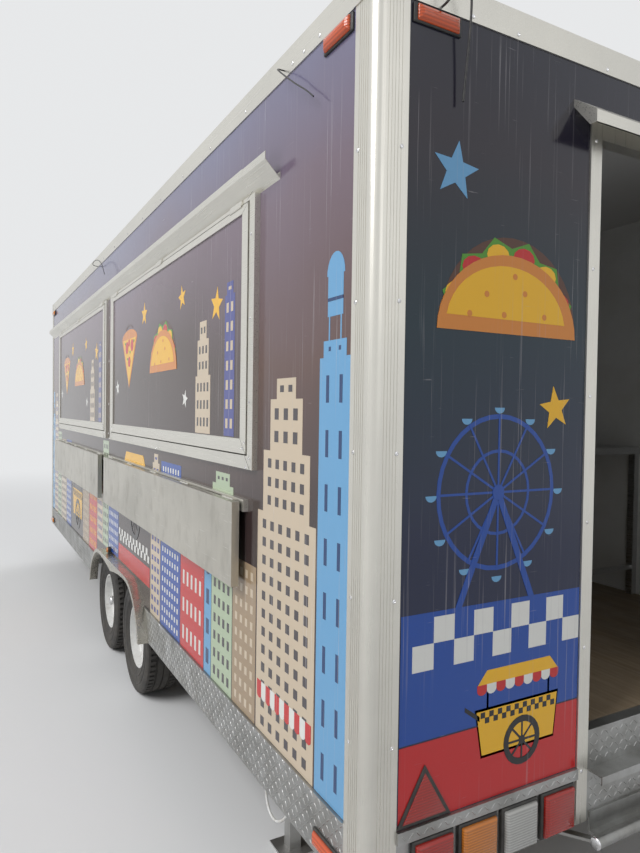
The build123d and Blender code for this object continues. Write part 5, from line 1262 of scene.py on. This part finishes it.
def ferris_wheel(sheet, x, z, radius, foot):
    """The dark blue outline of a fairground wheel on two legs, with pale blue cabins."""
    hub = Vector((x, z))
    ring(sheet, "blue", 1, x, z, radius, radius * 0.94, steps=36)
    ring(sheet, "blue", 1, x, z, radius * 0.55, radius * 0.51, steps=28)
    disc(sheet, "blue", 4, x, z, radius * 0.10, steps=14)
    for i in range(12):
        along = Vector((cos(pi * i / 6), sin(pi * i / 6))) * radius
        strip(sheet, "blue", 2, hub, hub + along)
        shape(sheet, "pale_blue", 1, arc(*(hub + along * 1.08), radius * 0.085, radius * 0.075, 180, 360, 8))
    for lean in (-1, 1):
        leg_foot = x + lean * radius * 0.62
        bar(sheet, "blue", 3, x - 0.012, x + 0.012, z, foot, leg_foot - 0.012, leg_foot + 0.012)


def street(sheet):
    """The long street along a side wall, under the hatches, from the rear corner to the front."""
    water_tower(sheet, 0.108, 0.286, FOOT_Z, 1.94)
    for paint, left, right, head, *windows in STREET:
        foot = OVER_FENDER_Z if OVER_FENDER[0] < left < OVER_FENDER[1] else FOOT_Z
        block(sheet, paint, left, right, foot, head, *windows)
    awning(sheet, 0.31, 0.73, 0.80, 0.05, 11)
    bar(sheet, "red", 1, 2.290, 3.130, OVER_FENDER_Z, 0.86)
    checkers(sheet, 2.300, 3.120, 0.885, 20)
    pushcart(sheet, 2.400, 3.060, 0.96, 1.50)
    pushcart(sheet, 4.660, 5.280, 0.66, 1.24)
    water_tower(sheet, 6.568, 6.750, FOOT_Z, 1.66)


def snacks(sheet, rear_end):
    """Snacks and stars, from the rear end of a panel or a stretch of wall."""
    for paint, ahead, z, size, turn in SNACK_STARS:
        star(sheet, paint, 1, rear_end + ahead, z, size, turn)
    taco(sheet, rear_end + 1.12, 1.98, 0.52)
    pizza(sheet, rear_end + 1.90, 2.22, 0.40)


def band(sheet, left, right, foot, squares):
    """A red and a blue field, with checkers over the blue one."""
    red_head, blue_foot, checkers_foot, blue_head = BAND_Z
    bar(sheet, "red", 1, left, right, foot, red_head)
    bar(sheet, "blue", 1, left, right, blue_foot, blue_head)
    checkers(sheet, left + 0.002, left + 0.002 + CHECKER * squares, checkers_foot, squares)


street("left_wall")
street("right_wall")
for rear_end in (0.95, 3.70):
    snacks("right_wall", rear_end)
for node, middle in hatch_middles.items():
    rear_end = middle - PANEL_HALF - rear_x
    block(node, "sand", rear_end + 0.36, rear_end + 0.56, PANEL_FOOT_Z, 1.93, "window", 4,
          [(0.025, 0.16), (0.03, 0.08)])
    block(node, "violet", rear_end + 0.08, rear_end + 0.19, PANEL_FOOT_Z, 2.24, "sand", 2,
          [(0.02, 0.05)], 0.07, 0.5)
    snacks(node, rear_end)

for side in (1, -1):
    left, right = sorted((side * JAMB_OUT, side * (side_face - post_in)))
    left, right = left + 0.002, right - 0.002
    band("rear_wall", left, right, FOOT_Z, int((right - left) / CHECKER))
    ferris_wheel("rear_wall", side * 0.835, 1.545, 0.235, BAND_Z[-1])
    star("rear_wall", "pale_blue", 2, side * 1.02, 2.47, 0.085, 6)
    star("rear_wall", "yellow", 2, side * 0.60, 1.80, 0.070, -8)
taco("rear_wall", 0.800, 2.02, 0.560)
pizza("rear_wall", -0.800, 2.28, 0.420)
pushcart("rear_wall", 0.560, 0.950, 0.690, 1.010)

band("door", door_low.y + 0.004, door_high.y - 0.007, door_low.z + 0.004, 10)
block("door", "sand", -0.90, -0.68, 1.216, 1.70, "window", 4, [(0.03, 0.16), (0.03, 0.08)])
block("door", "pale_green", -0.67, -0.50, 1.216, 1.52, "window", 3)
for y, z, size in DOOR_STARS:
    star("door", "yellow", 1, y, z, size, 40 * y)

ferris_wheel("front_wall", -0.55, 1.75, 0.42, 1.02)
for paint, left, right, head, windows in FRONT_STREET:
    block("front_wall", paint, left, right, FOOT_Z, head, windows, 4, [(0.03, 0.10)])
water_tower("front_wall", 1.03, 1.18, FOOT_Z, 1.60)
taco("front_wall", 0.45, 2.15, 0.60)
for y, z in FRONT_STARS:
    star("front_wall", "yellow", 1, y, z, 0.075, 30 * y)

printed = {}
for paint, colour in PAINTS.items():
    new = Finish("vinyl_" + paint, 0.2)
    film, gloss = film_surface(new, colour)
    new.colour(film)
    new.link(gloss, "Roughness")
    printed[paint] = new.material
for (sheet, paint), pieces in vinyl.items():
    place, body, slot = SHEETS[sheet]
    fit(sheet + "_" + paint, pieces, printed[paint], body, slot, place)

# Roof, vent and lid
# The roof is one dull white sheet, faintly chalky. The vent and its lid are moulded white
# plastic, a little yellowed.
ROOF_WHITE = (0.62, 0.62, 0.61)
ROOF_CHALK = (0.575, 0.57, 0.5525)
PLASTIC_WHITE = (0.74, 0.735, 0.715)
PLASTIC_AGED = (0.66, 0.63, 0.55)

roof_white = mottled("white_roof_sheet", (ROOF_WHITE, ROOF_CHALK), ((0.8, 2.5, 2.5), 0.35, 0.8), 0.65,
                     sheen=((0.8, 2.5, 2.5), 0.35, 0.8, 0.60, 0.70), relief=(40, 0.3, 0.7, 0.06))
roof_white.node_tree.nodes["Principled BSDF"].inputs["Specular IOR Level"].default_value = 0.1
give(roof_white, "roof")
give(mottled("white_vent_plastic", (PLASTIC_WHITE, PLASTIC_AGED), (8, 0.42, 0.8), 0.5,
             sheen=(30, 0.3, 0.7, 0.42, 0.58), relief=(220, 0.3, 0.7, 0.15, 0.0005)), "roof_vent", "vent_lid")

# Worktops
# Brushed stainless steel on welded legs: the serving counter under the hatches, and the bench
# across from it, with its sink and a swan-neck tap.
STAINLESS = (0.58, 0.585, 0.59)
STAINLESS_DARK = (0.50, 0.505, 0.51)
BRUSHED = ((4, 330, 330), 0.35, 0.68)
TAP_PLACE = (-0.831, 0.075, 1.598)
TAP_BASE = ("tap_base", 0.024, 0.006, 24, [(0.006, 0.008), (0.004, 0.030)], 0.001)
TAP_RADIUS = 0.010
TAP_RISE = 0.200
TAP_BEND = 0.065
TAP_SOCKET = 0.02
TAP_SPOUT = 0.035
LEVER_RADIUS = 0.005
LEVER_FOOT = (0.018, 0, 0.032)
LEVER = (0.050, 0, 0.022)

give(mottled("brushed_stainless", (STAINLESS, STAINLESS_DARK), BRUSHED, 0.28, 0.95,
             sheen=(*BRUSHED, 0.22, 0.36), relief=(*BRUSHED, 0.10, 0.0005)), "worktops")

tap_foot = Vector((TAP_PLACE[0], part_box("worktops")[0].y + TAP_PLACE[1], TAP_PLACE[2]))
tap_base = copies(turned_part(*TAP_BASE), [facing(tap_foot, (0, 0, 1))])
bend_middle = tap_foot + Vector((0, TAP_BEND, TAP_RISE))
swan_neck = pipe("swan_neck", TAP_RADIUS, tap_foot + Vector((0, 0, TAP_SOCKET)), (0, 0, 1), [
    (0, 0, TAP_RISE - TAP_SOCKET), (bend_middle, (1, 0, 0), -pi), (0, 0, -TAP_SPOUT)], 16)
lever = pipe("tap_lever", LEVER_RADIUS, tap_foot + Vector(LEVER_FOOT), (1, 0, 0.5), [LEVER], 10)
round_edges(lever, 0.0015)
fit("sink_tap", tap_base + [swan_neck, lever], chrome, "trailer", "stainless")

# Rear door
# A flat door that stands open against the wall: film outside, white sheet inside, edged all
# round. It has a rubber gasket, a flush paddle latch outside and a low grab handle inside.
DOOR_THICK = 0.040
GASKET_IN = 0.022
GASKET_WIDTH = 0.012
GASKET_HEIGHT = 0.004
LATCH_Z = 1.62
LATCH_IN = 0.075
LATCH_HALF = (0.030, 0.065)
LATCH_DEPTH = 0.003
LATCH_STEPS = ((0.008, -0.0018), (0.0008, 0.0032), (0.004, 0.0006))
HANDLE_RADIUS = 0.005
HANDLE_BEND = 0.012
HANDLE_STRAIGHT = 0.007
HANDLE_LENGTH = 0.18
HANDLE_FROM_LATCH = (0.02, -0.09)
HANDLE_FOOT = ("foot", 0.014, 0.002, 18, [(0.003, 0.001), (0.003, 0.0)])

# The door's film carries the rear wall's painted shade.
give(filmed_sheet("door_film", "X", door_high.x - FACE_SKIN, door_high.x + 0.1, REAR_SKY_IN_PAINTED_SHADE), "rear_door")
inner_x = door_high.x - DOOR_THICK
left, right = door_low.y + GASKET_IN, door_high.y - GASKET_IN - 0.003
foot, head = door_low.z + GASKET_IN, door_high.z - GASKET_IN
gasket = [round_edges(plate(quad(*area), GASKET_HEIGHT), 0.0018) for area in (
    (left, right, foot, foot + GASKET_WIDTH), (left, right, head - GASKET_WIDTH, head),
    (left, left + GASKET_WIDTH, foot, head), (right - GASKET_WIDTH, right, foot, head))]
fit("door_gasket", gasket, seal_rubber, "rear_door", "cable_sheath",
    wall_place((inner_x, 0, 0), (0, 1, 0), (-1, 0, 0)))

free_y = door_low.y + LATCH_IN
half_wide, half_tall = LATCH_HALF
latch = plate(quad(-half_wide, half_wide, -half_tall, half_tall), LATCH_DEPTH)
select_only(latch)
bpy.ops.object.mode_set(mode="EDIT")
bpy.ops.mesh.select_mode(type="FACE")
raise_top(latch, *LATCH_STEPS)
round_edges(latch, 0.0006, 1)
fit("door_latch", copies(latch, [facing((door_high.x, free_y, LATCH_Z), (1, 0, 0))]), chrome, "rear_door",
    "stainless")

grip_foot = Vector((inner_x, free_y + HANDLE_FROM_LATCH[0], LATCH_Z + HANDLE_FROM_LATCH[1]))
turns = [(grip_foot + Vector((-HANDLE_STRAIGHT, 0, z)), (0, 1, 0), radians(90))
         for z in (HANDLE_BEND, HANDLE_LENGTH - HANDLE_BEND)]
grip = pipe("grab_handle", HANDLE_RADIUS, grip_foot, (-1, 0, 0), [
    (-HANDLE_STRAIGHT, 0, 0), turns[0], (0, 0, HANDLE_LENGTH - 2 * HANDLE_BEND), turns[1],
    (HANDLE_STRAIGHT, 0, 0)])
grip_feet = [facing(grip_foot + Vector((0, 0, lift)), (-1, 0, 0)) for lift in (0, HANDLE_LENGTH)]
feet = copies(turned_part(*HANDLE_FOOT), grip_feet)
fit("door_grab_handle", [grip] + feet, chrome, "rear_door", "stainless")

# Lamps and reflectors
# Marker lamps with long faceted lenses, a row of four tail lamps each side of the door, two
# round lamps over the wheels and two red triangles. Ribbed plastic lenses sit in dark housings.
LENSES = {
    "red_lens": (0.40, 0.012, 0.006), "orange_marker_lens": (0.62, 0.085, 0.015),
    "amber_lens": (0.60, 0.19, 0.018), "clear_lens": (0.46, 0.46, 0.44),
}
HOUSING_DARK = (0.016, 0.016, 0.017)
HOUSING_DUSTY = (0.040, 0.038, 0.035)
RIB_SCALE = 38.0
MARKER_BASE = (0.165, 0.052, 0.006, 0.0, [(0.003, 0.002)])
MARKER_LENS = (0.143, 0.042, 0.012, 0.007, [(0.005, 0.006), (0.011, 0.0055)])
MARKER_ALONG = 0.1965
MARKER_ACROSS = 1.0985
MARKERS_Z = (2.865, 0.479)
TAIL_MIDDLES = (1.066, 0.897, 0.728, 0.559)
TAIL_COLOURS = ("red_lens", "amber_lens", "clear_lens", "red_lens")
TAIL_Z = 0.500
TAIL_BASE = (0.150, 0.150, 0.010, 0.0, [(0.004, 0.004)])
TAIL_LENS = (0.132, 0.132, 0.020, 0.012, [(0.004, 0.006), (0.006, 0.0035)])
ROUND_BASE = ("round_base", 0.022, 0.020, 28, [(0.002, 0.002)], 0.001)
ROUND_LENS = ("round_lens", 0.019, 0.026, 28, [(0.004, 0.004), (0.007, 0.003)], 0.0012)
ROUND_X, ROUND_Z = -0.614, 0.758
TRIANGLE = ((0.096, -0.081), (0, 0.081), (-0.096, -0.081))
TRIANGLE_Y, TRIANGLE_Z = 1.095, 0.700


def lens_finish(name, colour):
    """Ribbed lens plastic, darker in bands that follow its ribs."""
    new = Finish(name, 0.16)
    new.sockets["Coat Weight"].default_value = 0.4
    waves = new.add("ShaderNodeTexWave", {"Vector": new.at, "Scale": RIB_SCALE}, bands_direction="Z")
    ribs = waves.outputs["Fac"]
    new.colour(new.blend(new.remap(ribs, 0.0, 0.6), colour, [0.45 * part for part in colour]), (0.08, 1.0))
    new.sheen(new.streaks(50, 0.3, 0.7), 0.12, 0.28)
    new.relief(ribs, 0.35, 0.0015)
    return new.material


def lamp_parts(shape, places):
    """A lamp's base or lens at each place: a block whose face is lifted in steps, with rounded edges."""
    wide, tall, depth, foot, steps = shape
    part = start_block("lamp", (-wide / 2, -tall / 2, foot), (wide / 2, tall / 2, depth))
    raise_top(part, *steps)
    return copies(round_edges(part, 0.0015), places)


lens_plastic = {name: lens_finish(name, colour) for name, colour in LENSES.items()}
housing = mottled("dark_lamp_housing", (HOUSING_DARK, HOUSING_DUSTY), (30, 0.4, 0.7), 0.5,
                  dust=(0.25, DUST_HEIGHT), sheen=(80, 0.3, 0.7, 0.42, 0.6))

markers = {-1: [], 1: []}
for end_x, out in ((rear_x, -1), (front_x, 1)):
    for side in (1, -1):
        for z in MARKERS_Z:
            markers[out].append(facing((end_x - out * MARKER_ALONG, side * side_face, z), (0, side, 0)))
        markers[out].append(facing((end_x, side * MARKER_ACROSS, MARKERS_Z[0]), (out, 0, 0)))
housings = lamp_parts(MARKER_BASE, markers[-1] + markers[1])
for end, out, colour in (("rear", -1, "orange_marker_lens"), ("front", 1, "amber_lens")):
    marker_lenses = lamp_parts(MARKER_LENS, markers[out])
    fit("marker_lenses_" + end, marker_lenses, lens_plastic[colour], "trailer", "red_lens")

lenses = {"red_lens": [], "amber_lens": [], "clear_lens": []}
for side in (1, -1):
    for middle, colour in zip(TAIL_MIDDLES, TAIL_COLOURS):
        place = facing((rear_x, side * middle, TAIL_Z), (-1, 0, 0))
        housings += lamp_parts(TAIL_BASE, [place])
        lenses[colour] += lamp_parts(TAIL_LENS, [place])
    place = facing((rear_x, side * TRIANGLE_Y, TRIANGLE_Z), (-1, 0, 0))
    housings += copies(round_edges(plate(TRIANGLE, 0.005), 0.001), [place])
    face = plate([(x * 0.80, y * 0.80 - 0.006) for x, y in TRIANGLE], 0.007, 0.004)
    lenses["red_lens"] += copies(round_edges(face, 0.001), [place])
round_places = [facing((ROUND_X, side * side_face, ROUND_Z), (0, side, 0)) for side in (1, -1)]
housings += copies(turned_part(*ROUND_BASE), round_places)
round_lenses = copies(turned_part(*ROUND_LENS), round_places)
fit("fender_lamp_lenses", round_lenses, lens_plastic["amber_lens"], "trailer", "red_lens")
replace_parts(fit("lamp_housings", housings, housing, "trailer", "red_lens"), "lamps")
for colour, parts in lenses.items():
    fit(colour.replace("lens", "lamp_lenses"), parts, lens_plastic[colour], "trailer", "red_lens")

# Cords
# A white drain hose hangs in a loop under the floor. A black cable comes out of the rear roof
# rail, loops over and hangs down the wall, and two thin wires come out of the left rail.
HOSE_RADIUS = 0.005
HOSE_FROM_WALL = 0.100
CABLE_RADIUS = 0.0035
WIRE_RADIUS = 0.0025
HOSE_ROUTE = (
    (0.868, 0.703), (0.868, 0.600), (0.870, 0.480), (0.870, 0.360), (0.862, 0.276), (0.838, 0.229),
    (0.800, 0.211), (0.755, 0.219), (0.708, 0.250), (0.665, 0.300), (0.634, 0.370), (0.614, 0.450),
    (0.602, 0.550), (0.597, 0.640), (0.597, 0.703))
REAR_CABLE_ROUTE = (
    (0, 0.210, 2.905), (0.026, 0.210, 2.905), (0.046, 0.213, 2.924), (0.049, 0.220, 2.956),
    (0.047, 0.242, 2.979), (0.042, 0.268, 2.972), (0.038, 0.282, 2.944), (0.034, 0.286, 2.898),
    (0.028, 0.286, 2.826), (0.020, 0.283, 2.740), (0.014, 0.279, 2.656))
SIDE_WIRE_ROUTE = (
    (0.556, 0, 2.922), (0.556, 0.018, 2.922), (0.545, 0.032, 2.914), (0.515, 0.040, 2.893),
    (0.475, 0.040, 2.862), (0.431, 0.036, 2.827), (0.386, 0.031, 2.793), (0.341, 0.027, 2.762),
    (0.302, 0.023, 2.728))
FRONT_WIRE_ROUTE = (
    (3.957, 0, 2.901), (3.957, 0.022, 2.901), (3.945, 0.038, 2.905), (3.915, 0.047, 2.909),
    (3.865, 0.050, 2.911), (3.800, 0.050, 2.909), (3.732, 0.050, 2.901), (3.665, 0.049, 2.887),
    (3.600, 0.048, 2.865), (3.540, 0.047, 2.834), (3.486, 0.046, 2.792), (3.446, 0.044, 2.745))

hose_plastic = mottled("hose_plastic", ((0.74, 0.74, 0.72), (0.55, 0.53, 0.48)), (30, 0.4, 0.7), 0.4)
cable_black = mottled("cable_sheath", ((0.016, 0.016, 0.017), (0.05, 0.047, 0.045)), (60, 0.4, 0.7), 0.45)


def smooth_cord(node, end, points, radius, length, material):
    """A round cord on one smooth line through its route; the given length is not used."""
    name = node + end
    line = bpy.data.curves.new(name, "CURVE")
    line.dimensions = "3D"
    spline = line.splines.new("NURBS")
    spline.points.add(len(points) - 1)
    for point, place in zip(spline.points, points):
        point.co = (*place, 1)
    spline.order_u = 3
    spline.use_endpoint_u = True
    spline.resolution_u = 8
    line.bevel_depth = radius
    line.bevel_resolution = 3
    line.use_fill_caps = True
    line.materials.append(material)
    piece = bpy.data.objects.new(name, line)
    bpy.context.scene.collection.objects.link(piece)
    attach(piece, "trailer")
    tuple(points[0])
    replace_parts(piece, node)


hose_points = [(rear_x + ahead, side_face - HOSE_FROM_WALL, z) for ahead, z in HOSE_ROUTE]
smooth_cord("drain_hose", "_loop", hose_points, HOSE_RADIUS, 1.10, hose_plastic)
cable_points = [(rear_x - RAIL_PROUD - out, side_face - inwards, z) for out, inwards, z in REAR_CABLE_ROUTE]
smooth_cord("rear_cable", "_tail", cable_points, CABLE_RADIUS, 0.46, cable_black)
for node, route, length in (("side_wire", SIDE_WIRE_ROUTE, 0.34), ("front_wire", FRONT_WIRE_ROUTE, 0.59)):
    points = [(rear_x + ahead, side_face + RAIL_PROUD + out, z) for ahead, out, z in route]
    smooth_cord(node, "_tail", points, WIRE_RADIUS, length, cable_black)
